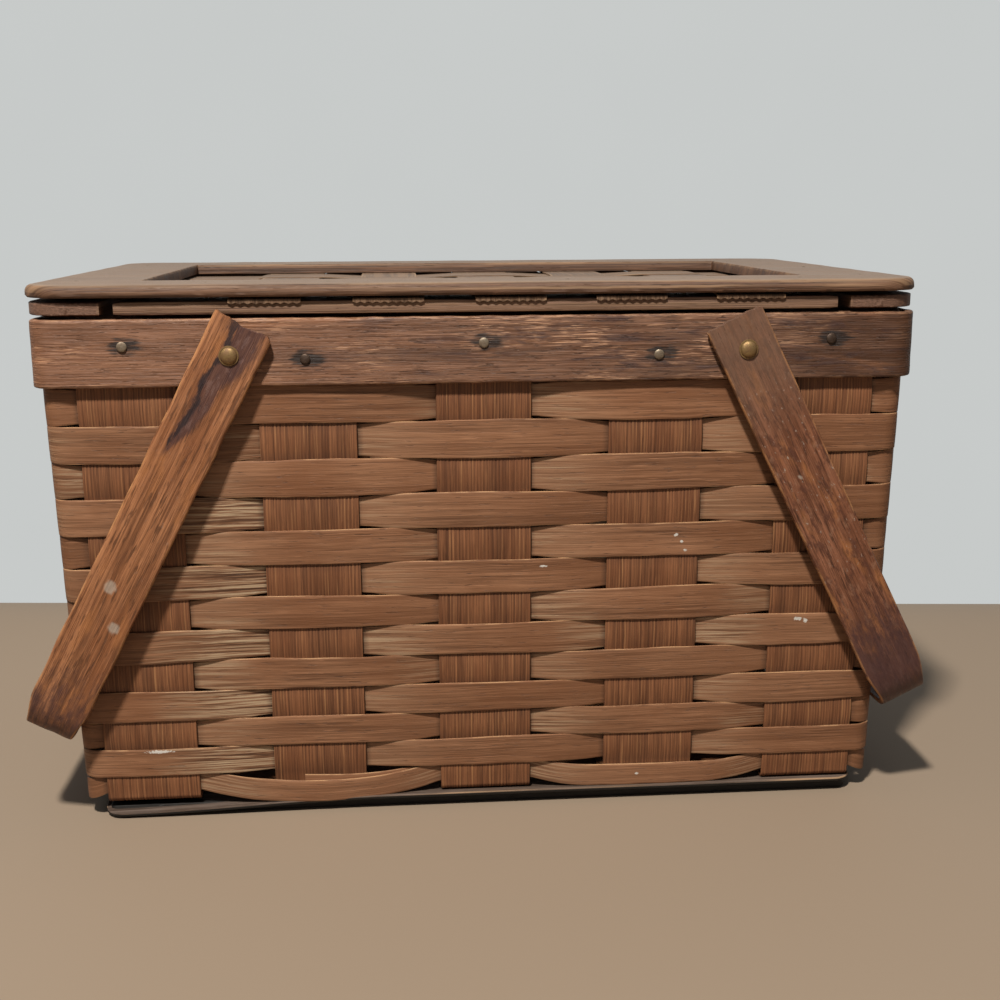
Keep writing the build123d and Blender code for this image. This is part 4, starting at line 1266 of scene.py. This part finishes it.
def pivot_place(side):
    """Where a handle's rivets stand, as (x, z)."""
    reach = half_size("handle_rivets", 0) - half_size("handle_rivets", 2)
    return middle("handle_rivets", 0) + side * reach, middle("handle_rivets", 2)


def ragged_end(across, half, side):
    """How far an arm's top end is worn back across its width, in front."""
    t = across / half
    torn = 0.5 * np.sin(t * 9.1 + 0.7) + 0.35 * np.sin(t * 17.3 + 1.9) + 0.25 * np.sin(t * 29.0)
    if side < 0:
        dip = 1.5 * np.exp(-((t + 0.12) / 0.22) ** 2) + 1.1 * ease(t, -0.1, 0.3) * (1 - ease(t, 0.5, 0.62))
        return (0.5 + dip + 2.6 * ease(t, 0.78, 1.0) ** 2 + 0.55 * torn) * MM
    return (0.5 + 0.45 * torn + 1.2 * ease(-t, 0.86, 1.0) + 1.6 * ease(t, 0.9, 1.0)) * MM


def handle_marks(side, run, across):
    """Where a handle is stained, cracked, specked, scuffed and greyed, and where shade is painted from low
    on its front arm onwards.
    """
    crack, speck = np.zeros_like(across), np.zeros_like(across)
    if side < 0:
        down, *rows = np.array(LEFT_STAIN).T * MM
        spine, spread, split, gape = (np.interp(run, down, row)[:, None] for row in rows)
        reach_down = 1 - ease(run, 58 * MM, 88 * MM)[:, None]
        stain = np.exp(-((across - spine) / spread) ** 2) * reach_down
        # Painted shade: darker from low on the front arm onwards, round the grip and up the back arm.
        stain = np.maximum(stain, 0.55 * ease(run, 160 * MM, 235 * MM)[:, None])
        crack = np.exp(-((across - split) / gape) ** 2) * reach_down
    else:
        # Painted shade: the right handle's stain mark darkens it from low on the front arm onwards, round
        # the grip and up the back arm.
        stain = 0.85 * ease(run, 130 * MM, 225 * MM)
    for down, sideways, size in SPECKS[side]:
        distance = np.hypot(run[:, None] - down * MM, across - sideways * MM)
        speck = np.maximum(speck, 1 - ease(distance, size * 0.6 * MM, size * 1.3 * MM))
    scuff = ease(run, 20 * MM, 70 * MM) * (1 - ease(run, 120 * MM, 170 * MM)) * 0.9 + 0.1
    greyed = (side > 0) * (1 - ease(run, 14 * MM, 80 * MM))
    return {"stain": stain, "crack": crack, "speck": speck, "scuff": scuff, "greyed": greyed}


def handle(node, side, reach, material):
    """A strip bent to a U, hanging from its rivets and resting on the end of the basket."""
    sizes = basket().handles
    random = draws(node)
    x0, z0 = pivot_place(side)
    half_width, thick = sizes.width / 2, sizes.thick
    swing = atan2(half_width, sizes.tail) - acos((high(node, 2) - z0) / hypot(sizes.tail, half_width))
    mid, foot = high(node, 1) - thick / 2, thick / 2 - reach
    bend = (sizes.bend_radius - thick / 2) * 1.18
    corners = [(-mid, sizes.tail), (-mid, foot), (mid, foot), (mid, sizes.tail)]
    path = bent_line(corners, [0, bend, bend, 0], 2.2 * MM)
    run = run_along(path)
    line, wide = laid(path, 1, 0.0)
    out = outward(line, wide, (0, 0, -0.1))
    waist = ease(path[:, 1], foot + sizes.bend_radius * 0.2, foot + sizes.bend_radius * 1.3)
    half = sizes.grip_width / 2 + (half_width - sizes.grip_width / 2) * waist
    half = half - 0.15 * MM + waves(run, run[-1], 28 * MM, 0.22 * MM, random)
    across, outer, inner = section(half, (0, 0.3, 0.8, 1.6, 2.6), 15, thick, 1.3 * MM, 0.9 * MM)
    warp = waves(run, run[-1], 70 * MM, 0.12 * MM, random)[:, None]
    ripple = waves(run[:, None] + across * 2, run[-1], 18 * MM, 0.10 * MM, random)
    outer = outer - 0.12 * MM + np.minimum(0, warp + ripple)
    shift = 0.0
    for end, way in ((0, 1), (-1, -1)):
        fade = 1 - ease(np.abs(run - run[end]), 0, 9 * MM)
        shift = shift + way * fade[:, None] * ragged_end(way * across, half[:, None], side)
    marks = handle_marks(side, run, across)
    course, shape = (line, wide, out), (across, outer, inner)
    piece = strip(node + "_bent", course, shape, side * 2.3, shift=shift, marks=marks)
    piece.data.transform(Matrix.Translation((x0, 0, z0)) @ Matrix.Rotation(-side * swing, 4, "Y"))
    settle(piece, material, node)


class BASKET_OT_handles(bpy.types.Operator):
    """Bend the two handles"""

    bl_idname = "basket.handles"
    bl_label = "Handles"

    def execute(self, context):
        colours, sizes = basket().colours, basket().handles
        left = handle_wood("Left handle wood", colours.left_handle, 0.56, 0.15)
        right = handle_wood("Right handle wood", colours.right_handle, 0.50, 0.75)
        handle("handle_left", -1, sizes.left_reach, left)
        handle("handle_right", 1, sizes.right_reach, right)
        return {"FINISHED"}


# Lid

CROSS_SPLINTS = nodes_named("lid_splint_cross_")
LONG_SPLINTS = nodes_named("lid_splint_long_")


def stepped_loop(half_x, half_y, radius, counts=(100, 64)):
    """A rounded rectangle with a fixed number of points on each arc and straight, and its normals."""
    centres = np.array([(1, 1), (-1, 1), (-1, -1), (1, -1)]) * (half_x - radius, half_y - radius)
    points, normals = [], []
    for k in range(4):
        for turn in (k + np.linspace(0, 1, 9)) * pi / 2:
            normals.append(np.array([cos(turn), sin(turn)]))
            points.append(centres[k] + radius * normals[-1])
        here, goal = points[-1], centres[(k + 1) % 4] + radius * normals[-1]
        for t in np.linspace(0, 1, counts[k % 2] + 1)[1:-1]:
            points.append(here + (goal - here) * t)
            normals.append(normals[-1])
    return np.array(points), np.array(normals)


def lid_board(material):
    """The lid's top board: a flat frame round a window, its upper edges worn round."""
    node, sizes = "lid_top", basket().lid
    random = draws(node)
    under, top = low(node, 2), high(node, 2)
    edge, edge_way = stepped_loop(high(node, 0), high(node, 1), sizes.corner_radius)
    gap, gap_way = stepped_loop(sizes.window_length / 2, sizes.window_depth / 2, 1.0 * MM)
    count = len(edge)
    run = np.arange(count) / count
    nibble = np.abs(waves(run, 1.0, 0.02, 0.35 * MM, random))
    hollow = np.abs(waves(run, 1.0, 0.05, 0.25 * MM, random))
    radius = 3.8 * MM
    flat_edge = edge - edge_way * radius
    loops = [
        (gap, under + 0.3 * MM), (gap, top - 0.7 * MM - hollow),
        (gap + gap_way * 0.5 * MM, top - 0.1 * MM - hollow * 0.4),
    ]
    for share in (0.12, 0.3, 0.5, 0.7, 0.88):
        dip = 0.25 * MM * np.abs(waves(run, 1.0, 0.09, 1.0, draws(f"flat {share}")))
        loops.append((gap + (flat_edge - gap) * share, top - dip))
    for turn in np.linspace(0, pi / 2, 6):
        at = edge - edge_way * (radius * (1 - sin(turn)) + nibble[:, None] * sin(turn))
        loops.append((at, top - radius * (1 - cos(turn)) - hollow * cos(turn) * 0.5))
    loops.append((edge - edge_way * nibble[:, None] * 0.7, under + 1.0 * MM + hollow * 0.5))
    loops.append((edge - edge_way * (0.8 * MM + nibble[:, None]), under + hollow * 0.2))
    loops += [(gap + (flat_edge - gap) * share, under) for share in (0.75, 0.4, 0.1)]
    shape = np.zeros((len(loops), count, 3))
    for k, (flat, level) in enumerate(loops):
        shape[k, :, :2], shape[k, :, 2] = flat, level
    distance = np.full(shape.shape[:2], 9 * MM)
    distance[8:14] = 0.4 * MM  # the rings of the worn outer edge
    distance[1:3] = 0.3 * MM  # the rings of the window's edge
    shape = shape.reshape(-1, 3)
    marks = {
        "grain": np.stack([shape[:, 0], shape[:, 1] + shape[:, 2] * 0.9, np.full(len(shape), 0.4)], -1),
        "edge": distance.ravel(),
        "face": (shape[:, 2] > (under + top) / 2).astype(float),
    }
    faces = ring_faces(len(loops), count, True)[:, [0, 3, 2, 1]]
    piece = mesh_object("lid_board", shape, faces, marks)
    with edited(piece.data) as work:
        bmesh.ops.recalc_face_normals(work, faces=work.faces)
    settle(piece, material, node)


def plank(
    node, kind, along, material, radius=0.6 * MM, corner=(0.0, 0.0), droop=None,
    undercut=0.0, rise=None,
):
    """A flat plank in a node's box, along X or Y, with eased edges and rounded corners."""
    name = f"{node}_{kind}"
    random = draws(name)
    waviness = 0.12 * MM
    start, end = (np.array(corner_point) for corner_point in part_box(node))
    other = 1 - along
    centre, reach = (start + end) / 2, (end - start) / 2
    half, thick, span = reach[other], reach[2], 2 * reach[along]
    largest = max(corner)
    bends = largest * (1 - np.cos(np.linspace(0, pi / 2, 7))) if largest else np.array([0.0])
    even = np.linspace(0, span, max(12, int(span / (4 * MM))))
    even = even[(even > largest) & (even < span - largest)]
    run = np.unique(np.round(np.concatenate([even, bends, span - bends]), 7))
    path = np.column_stack([start[along] + run, np.full(len(run), centre[2])])
    line, wide = laid(path, along, centre[other])
    out = np.tile([0.0, 0.0, 1.0], (len(run), 1))
    near_end = np.minimum(run, span - run)
    cut = np.stack([rounding(near_end, r) if r else 0 * run for r in corner], -1)
    low_side, high_side = -half + cut[:, :1], half - cut[:, 1:]
    base = columns(np.full(len(run), half), radius * np.array([0, 0.25, 1, 2.5]), 9)
    across = low_side + (high_side - low_side) * (base + half) / (2 * half)
    edge = np.minimum(np.minimum(across - low_side, high_side - across), near_end[:, None])
    easing = min(radius, thick * 0.8)
    swell = waves(run[:, None] + across, span, 60 * MM, waviness, random)
    outer = thick - rounding(edge, easing) + np.minimum(0, swell - waviness * 0.4)
    inner = -thick + rounding(edge, undercut or easing)
    if droop:
        x, y = (line[:, axis, None] + across * wide[:, axis, None] for axis in (0, 1))
        outer, inner = outer - droop(x, y), inner - droop(x, y)
    if rise:
        outer = outer + rise(line[:, along])[:, None]
    piece = strip(name, (line, wide, out), (across, outer, inner), random.uniform(0, 5))
    settle(piece, material, node)


def lid_splint(node, along, material):
    """A thin splint woven over and under the others; a cross splint ends in a pinked tab."""
    sizes = basket().lid
    random = draws(node)
    thick = sizes.splint_thick
    kin, crossed = (CROSS_SPLINTS, LONG_SPLINTS) if along else (LONG_SPLINTS, CROSS_SPLINTS)
    level = low(LONG_SPLINTS[0], 2) + thick / 2
    raised = level + thick + 0.1 * MM
    flat = half_size(crossed[0], along) + thick
    start, end = low(node, along), high(node, along)
    corners = []
    for j, other in enumerate(crossed):
        z = raised if (kin.index(node) + j) % 2 == 1 - along else level
        corners += [(middle(other, along) - flat, z), (middle(other, along) + flat, z)]
    if along:
        tab, window = start + thick / 2, sizes.window_depth / 2
        corners = [(tab, low(node, 2)), (tab, raised), (-window, raised)] + corners
        corners += [(window, raised), (end, raised)]
        radii = [0, 0.9 * MM] + [6 * MM] * (len(corners) - 2)
    else:
        ramp = 4 * MM
        if corners[0][1] == raised:
            corners.insert(0, (corners[0][0] - ramp, level))
        if corners[-1][1] == raised:
            corners.append((corners[-1][0] + ramp, level))
        corners = [(start, level)] + corners + [(end, level)]
        radii = [6 * MM] * len(corners)
    line, wide = laid(bent_line(corners, radii, 4 * MM), along, middle(node, 1 - along))
    forward = directions(line)
    if along:
        forward[:2] = (0, 0, 1)
    out = np.cross(wide, forward) if along else np.cross(forward, wide)
    run = run_along(line)
    half = half_size(node, 1 - along) - 0.2 * MM + waves(run, run[-1], 40 * MM, 0.15 * MM, random)
    shape = section(half, (0, 0.15, 0.4), 62 if along else 18, thick, 0.3 * MM, 0.3 * MM)
    shift = 0.0
    if along:
        turn = (shape[0] / half[:, None] + 1) / 2 * sizes.scallops
        bite = np.abs(np.cos(turn * pi)) ** 1.6 * sizes.scallop_depth
        shift = bite * (1 - ease(run, 0, 2 * MM))[:, None]
    piece = strip(node + "_woven", (line, wide, out), shape, random.uniform(0, 5), shift=shift)
    settle(piece, material, node)


def packing_rise(x):
    """How far the back strip fills the gap under the board, between the ends of the splints."""
    gap = low("lid_top", 2) - high("lid_strip_back", 2) - 0.1 * MM
    for node in CROSS_SPLINTS:
        start, end = low(node, 0) - 0.6 * MM, high(node, 0) + 0.6 * MM
        gap = gap * (1 - ease(x, start - 2 * MM, start) * (1 - ease(x, end, end + 2 * MM)))
    return gap


class BASKET_OT_lid_boards(bpy.types.Operator):
    """Make the lid's top board and the strips under it"""

    bl_idname = "basket.lid_boards"
    bl_label = "Lid boards"

    def execute(self, context):
        colours = basket().colours
        lid_board(lid_wood("Lid board wood", colours.lid, 0.8, 0.35 * MM, 0.4))
        wood = lid_wood("Lid strip wood", colours.strip, 0.0, 0.3 * MM, 0.35)
        radius = basket().lid.corner_radius - 3.1 * MM
        plank("lid_strip_front", "eased", 0, wood)
        plank("lid_strip_back", "eased", 0, wood, rise=packing_rise)
        plank("lid_strip_left", "eased", 1, wood, corner=(radius, 0))
        plank("lid_strip_right", "eased", 1, wood, corner=(0, radius))
        return {"FINISHED"}


class BASKET_OT_lid_splints(bpy.types.Operator):
    """Weave the lid's splints, with pinked ends in front"""

    bl_idname = "basket.lid_splints"
    bl_label = "Lid splints"

    def execute(self, context):
        material = lid_wood("Lid splint wood", basket().colours.splint, 0.35, 0.22 * MM)
        for node in CROSS_SPLINTS + LONG_SPLINTS:
            lid_splint(node, int(node in CROSS_SPLINTS), material)
        return {"FINISHED"}


# Base

def corner_droop(x, y):
    """How far the bottom board's left front corner hangs down."""
    left, front = low("bottom_board", 0), low("bottom_board", 1)
    along = 1 - ease(x, left + 12 * MM, left + 150 * MM)
    return 4.6 * MM * along * (1 - ease(y, front, front + 26 * MM))


class BASKET_OT_base(bpy.types.Operator):
    """Make the bottom board and its runners"""

    bl_idname = "basket.base"
    bl_label = "Base"

    def execute(self, context):
        colour = basket().colours.board
        # Painted shade: the board's lower edge and underside, and the runners all over, are coloured near
        # black for the shadow under the basket.
        board = lid_wood("Board wood", colour, 0.0, 0.25 * MM, 0.7, 1.0)
        runner = lid_wood("Runner wood", shade(colour, 0.05), 0.0, 0.25 * MM, 0.02, 0.5)
        rounded = (10 * MM, 10 * MM)
        plank("bottom_board", "thin", 0, board, 0.5 * MM, rounded, corner_droop, 1.6 * MM)
        for node in ("runner_front", "runner_back"):
            plank(node, "eased", 0, runner, 0.8 * MM, (4 * MM, 4 * MM))
        return {"FINISHED"}


# Fastenings

SCREW_RADIUS = 2.2 * MM


def arc_points(radius, foot, height, degrees):
    """Points of a dome's profile over its foot, at angles up from its edge."""
    return [(radius * cos(radians(a)), foot + height * sin(radians(a))) for a in degrees]


def nail_shape():
    """A domed nail head on its shank, seated at height zero."""
    radius, height, shank, foot = NAIL_RADIUS, 1.0 * MM, 0.9 * MM, -5.2 * MM
    profile = [(0, foot), (shank, foot), (shank, 0), (radius * 0.97, 0), (radius, height * 0.25)]
    profile += arc_points(radius * 1.02, height * 0.25, height * 0.75, (25, 45, 62, 76))
    return lathe("nail", profile + [(0, height)], 16)


def rivet_shape(seat):
    """A rivet along +Z, height zero at the arm's outer face, with its dome and clenched tail."""
    back = (high("rim_band_inner", 1) - 2.6 * MM - seat) / MM
    profile = [
        (0, back - 1.3), (2.4, back - 1.2), (3.6, back - 0.5), (3.8, back), (2.45, back), (2.45, 0),
        (4.9, 0), (5.0, 0.15), (4.9, 0.45), (4.35, 0.5), (4.25, 0.35),
    ]
    profile += arc_points(4.25, 0.25, 1.95, (12, 30, 48, 64, 78))
    return lathe("rivet", np.array(profile + [(0, 2.274)]) * MM, 28)


def washer_shape():
    """A plain washer with eased edges, 0.8 mm thick."""
    profile = [(2.6, 0), (7.8, 0), (8.0, 0.24), (8.0, 0.56), (7.8, 0.8), (2.6, 0.8), (2.6, 0)]
    return lathe("washer", np.array(profile) * MM, 32)


def screw_shape():
    """A flat screw head with a slot, on a plain shank."""
    radius, height, foot, shank = SCREW_RADIUS, 0.6 * MM, -4.8 * MM, 1.0 * MM
    head = lathe("screw", [
        (0, foot), (shank, foot), (shank, 0), (radius * 0.96, 0), (radius, height * 0.3),
        (radius * 0.9, height * 0.8), (radius * 0.6, height), (0, height),
    ], 20)
    blade = bpy.data.meshes.new("slot")
    with edited(blade) as work:
        sides = Matrix.Diagonal((radius * 2.4, radius * 0.26, height, 1))
        bmesh.ops.create_cube(work, size=1.0, matrix=sides)
        bmesh.ops.translate(work, verts=work.verts, vec=(0, 0, height * 1.05))
    cutter = linked("slot", blade)
    bpy.context.scene.collection.objects.link(head)
    cut = head.modifiers.new("slot", "BOOLEAN")
    cut.operation = "DIFFERENCE"
    cut.object = cutter
    view = bpy.context.evaluated_depsgraph_get()
    mesh = bpy.data.meshes.new_from_object(head.evaluated_get(view))
    head.modifiers.clear()
    head.data = mesh
    bpy.data.objects.remove(cutter)
    bpy.context.scene.collection.objects.unlink(head)
    return head


def rivet_spots(out):
    """The four rivet places, a distance out from the middle plane, as (place, facing)."""
    spots = []
    for x, z in (pivot_place(-1), pivot_place(1)):
        spots += [((x, side * out, z), (0, side, 0)) for side in (-1, 1)]
    return spots


def screw_spots(node, way):
    """Two screws on each leaf, as (place, facing)."""
    on_rim = way[1] > 0
    y = high(node, 1) - 0.6 * MM if on_rim else middle(node, 1)
    z = middle(node, 2) if on_rim else low(node, 2) + 0.2 * MM
    reach = half_size(node, 0) - SCREW_RADIUS
    return [
        ((middle(node, 0) + side * (reach - inward), y, z), way)
        for side in (-1, 1) for inward in (0, 20 * MM)
    ]


class BASKET_OT_fastenings(bpy.types.Operator):
    """Set the nails, rivets, washers, brads and screws"""

    bl_idname = "basket.fastenings"
    bl_label = "Fastenings"

    def execute(self, context):
        colours = basket().colours
        tree = fastener_tree()
        nails = nail_places()
        front = [place for place, way in nails if way[1] < 0]
        rusted = [(front[k][0], front[k][2], 6 * MM, 1.0) for k in (1, 4)]
        steel = metal("Old steel", colours.steel, (0.16, 0.115, 0.075), 0.55, 0.70, 420.0, rusted)
        brass = metal("Dull brass", colours.brass, (0.19, 0.105, 0.045), 0.56, 0.72, 360.0)
        fasteners(
            "rim_nails", "domed", tree, nail_shape(), nails, steel, "old_steel", 5,
            size_spread=0.06, tilt=0.07,
        )
        seat = high("handle_left", 1) + 0.05 * MM
        spots = rivet_spots(seat)
        fasteners("handle_rivets", "domed", tree, rivet_shape(seat), spots, brass, "rivet_brass", 7)
        spots = rivet_spots(high("rim_band_outer", 1))
        fasteners("pivot_washers", "turned", tree, washer_shape(), spots, brass, "rivet_brass", 9)
        for node in ("lid_brads", "bottom_brads"):
            frame["nodes"][node].data.materials.clear()
            frame["nodes"][node].data.materials.append(steel)
        for node, way in (("hinge_screws_rim", (0, 1, 0)), ("hinge_screws_lid", (0, 0, -1))):
            spots = screw_spots(node, way)
            fasteners(node, "slotted", tree, screw_shape(), spots, brass, "hinge_brass", 11)
        return {"FINISHED"}


class BASKET_OT_hinges(bpy.types.Operator):
    """Ease the hinge leaves and turn their pins"""

    bl_idname = "basket.hinges"
    bl_label = "Hinges"

    def execute(self, context):
        colour = shade(basket().colours.brass, 0.7)
        brass = metal("Hinge brass", colour, (0.12, 0.07, 0.034), 0.52, 0.75, 260.0)
        for side in ("left", "right"):
            for half in ("rim", "lid"):
                node = f"hinge_leaf_{half}_{side}"
                settle(refined(node, 0.18 * MM), brass, node)
        node = "hinge_pins"
        length, chamfer, radius = 41 * MM, 0.3 * MM, half_size(node, 2)
        pin = lathe("pin", [
            (0, 0), (radius * 0.8, 0), (radius, chamfer), (radius, length - chamfer),
            (radius * 0.8, length), (0, length),
        ], 20)
        spots = [
            ((x, middle(node, 1), middle(node, 2)), (1, 0, 0))
            for x in (low(node, 0), high(node, 0) - length)
        ]
        fasteners(node, "turned", fastener_tree(), pin, spots, brass, "hinge_brass", 13, twist=0.0)
        return {"FINISHED"}


# Studio

def sheet_object(name, corners, faces, material):
    """A floor or backdrop through its corners."""
    mesh = bpy.data.meshes.new(name)
    mesh.from_pydata(corners, [], faces)
    mesh.shade_smooth()
    mesh.materials.append(material)
    made = linked(name, mesh)


def floor_sheet(reach, far):
    """Corners and faces of the floor, which bends down behind the basket on a slanting line."""
    edge, slant, fall, bend = 0.235, 0.30, 0.36, (-0.08, 0.12)
    steps = [-reach, *np.linspace(*bend, 11), far]
    corners, level = [], 0.0
    for before, step in zip([-reach] + steps, steps):
        level -= fall * float(ease(np.array((before + step) / 2), *bend)) * (step - before)
        corners += [(-reach, edge + slant + step, level), (reach, edge - slant + step, level)]
    return corners, [(2 * k, 2 * k + 1, 2 * k + 3, 2 * k + 2) for k in range(len(steps) - 1)]


def aimed_light(name, place, goal, size, power, colour):
    """A square area light that shines from a place to a goal."""
    data = bpy.data.lights.new(name, "AREA")
    data.shape = "SQUARE"
    data.size, data.energy, data.color = size, power, colour
    made = linked(name, data)
    made.location = place
    made.rotation_euler = (Vector(goal) - Vector(place)).to_track_quat("-Z", "Y").to_euler()


def camera_turn(yaw, pitch, roll):
    """The camera's turn from its yaw to the right, its pitch down and its roll."""
    right = np.array([cos(yaw), -sin(yaw), 0.0])
    ahead = np.array([sin(yaw) * cos(pitch), cos(yaw) * cos(pitch), -sin(pitch)])
    up = np.cross(right, ahead)
    across, above = right * cos(roll) - up * sin(roll), right * sin(roll) + up * cos(roll)
    return Matrix(np.column_stack([across, above, -ahead]).tolist()).to_4x4()


class BASKET_OT_studio(bpy.types.Operator):
    """Lay the floor and backdrop, and set the camera and lights"""

    bl_idname = "basket.studio"
    bl_label = "Studio"

    def execute(self, context):
        studio, scene = basket().studio, context.scene
        scene.view_settings.view_transform = "Standard"
        reach, far = 3.0, 1.5
        sheet_object("floor", *floor_sheet(reach, far), plain_finish("Floor", studio.floor_colour, 0.7))
        wall = [(-reach, far, -1.2), (reach, far, -1.2), (reach, far, reach), (-reach, far, reach)]
        backdrop = plain_finish("Backdrop", studio.wall_colour, 0.9, 1.0)
        sheet_object("backdrop", wall, [(0, 1, 2, 3)], backdrop)
        aimed_light("Key", (-0.40, -1.10, 1.92), (0, 0, 0.12), 0.15, studio.key_power, (1.0, 0.95, 0.88))
        world = bpy.data.worlds.new("Studio")
        world.use_nodes = True
        sky = world.node_tree.nodes["Background"].inputs
        sky["Color"].default_value = (0.92, 0.96, 1.0, 1)
        sky["Strength"].default_value = studio.fill_strength
        scene.world = world
        data = bpy.data.cameras.new("Camera")
        data.sensor_width, data.lens = 36.0, studio.camera_lens
        camera = linked("Camera", data)
        turn = camera_turn(studio.camera_yaw, studio.camera_pitch, studio.camera_roll)
        camera.matrix_world = Matrix.Translation(studio.camera_place) @ turn
        scene.camera = camera
        return {"FINISHED"}


class BASKET_PT_panel(bpy.types.Panel):
    """The basket's pieces, one button each"""

    bl_label = "Splint Picnic Basket"
    bl_idname = "BASKET_PT_panel"
    bl_space_type = "VIEW_3D"
    bl_region_type = "UI"
    bl_category = "Basket"

    def draw(self, context):
        for operator in OPERATORS:
            self.layout.operator(operator.bl_idname)
        for group in ("weave", "handles", "lid", "colours", "studio"):
            column = self.layout.column(heading=group.title())
            values = getattr(context.scene.basket, group)
            for name in values.bl_rna.properties.keys():
                if name not in ("rna_type", "name"):
                    column.prop(values, name)


OPERATORS = (
    BASKET_OT_weavers,
    BASKET_OT_uprights,
    BASKET_OT_rim,
    BASKET_OT_handles,
    BASKET_OT_lid_boards,
    BASKET_OT_lid_splints,
    BASKET_OT_base,
    BASKET_OT_fastenings,
    BASKET_OT_hinges,
    BASKET_OT_studio,
)
GROUPS = (BasketWeave, BasketHandles, BasketLid, BasketColours, BasketStudio, BasketSettings)


def register():
    for kind in GROUPS + OPERATORS + (BASKET_PT_panel,):
        bpy.utils.register_class(kind)
    bpy.types.Scene.basket = PointerProperty(type=BasketSettings)


def unregister():
    del bpy.types.Scene.basket
    for kind in reversed(GROUPS + OPERATORS + (BASKET_PT_panel,)):
        bpy.utils.unregister_class(kind)


def main():
    """Make every piece in order."""
    register()
    for operator in OPERATORS:
        group, name = operator.bl_idname.split(".")
        result = getattr(getattr(bpy.ops, group), name)()
        if "FINISHED" not in result:
            raise RuntimeError(operator.bl_idname + " did not finish")


if __name__ == "__main__":
    main()
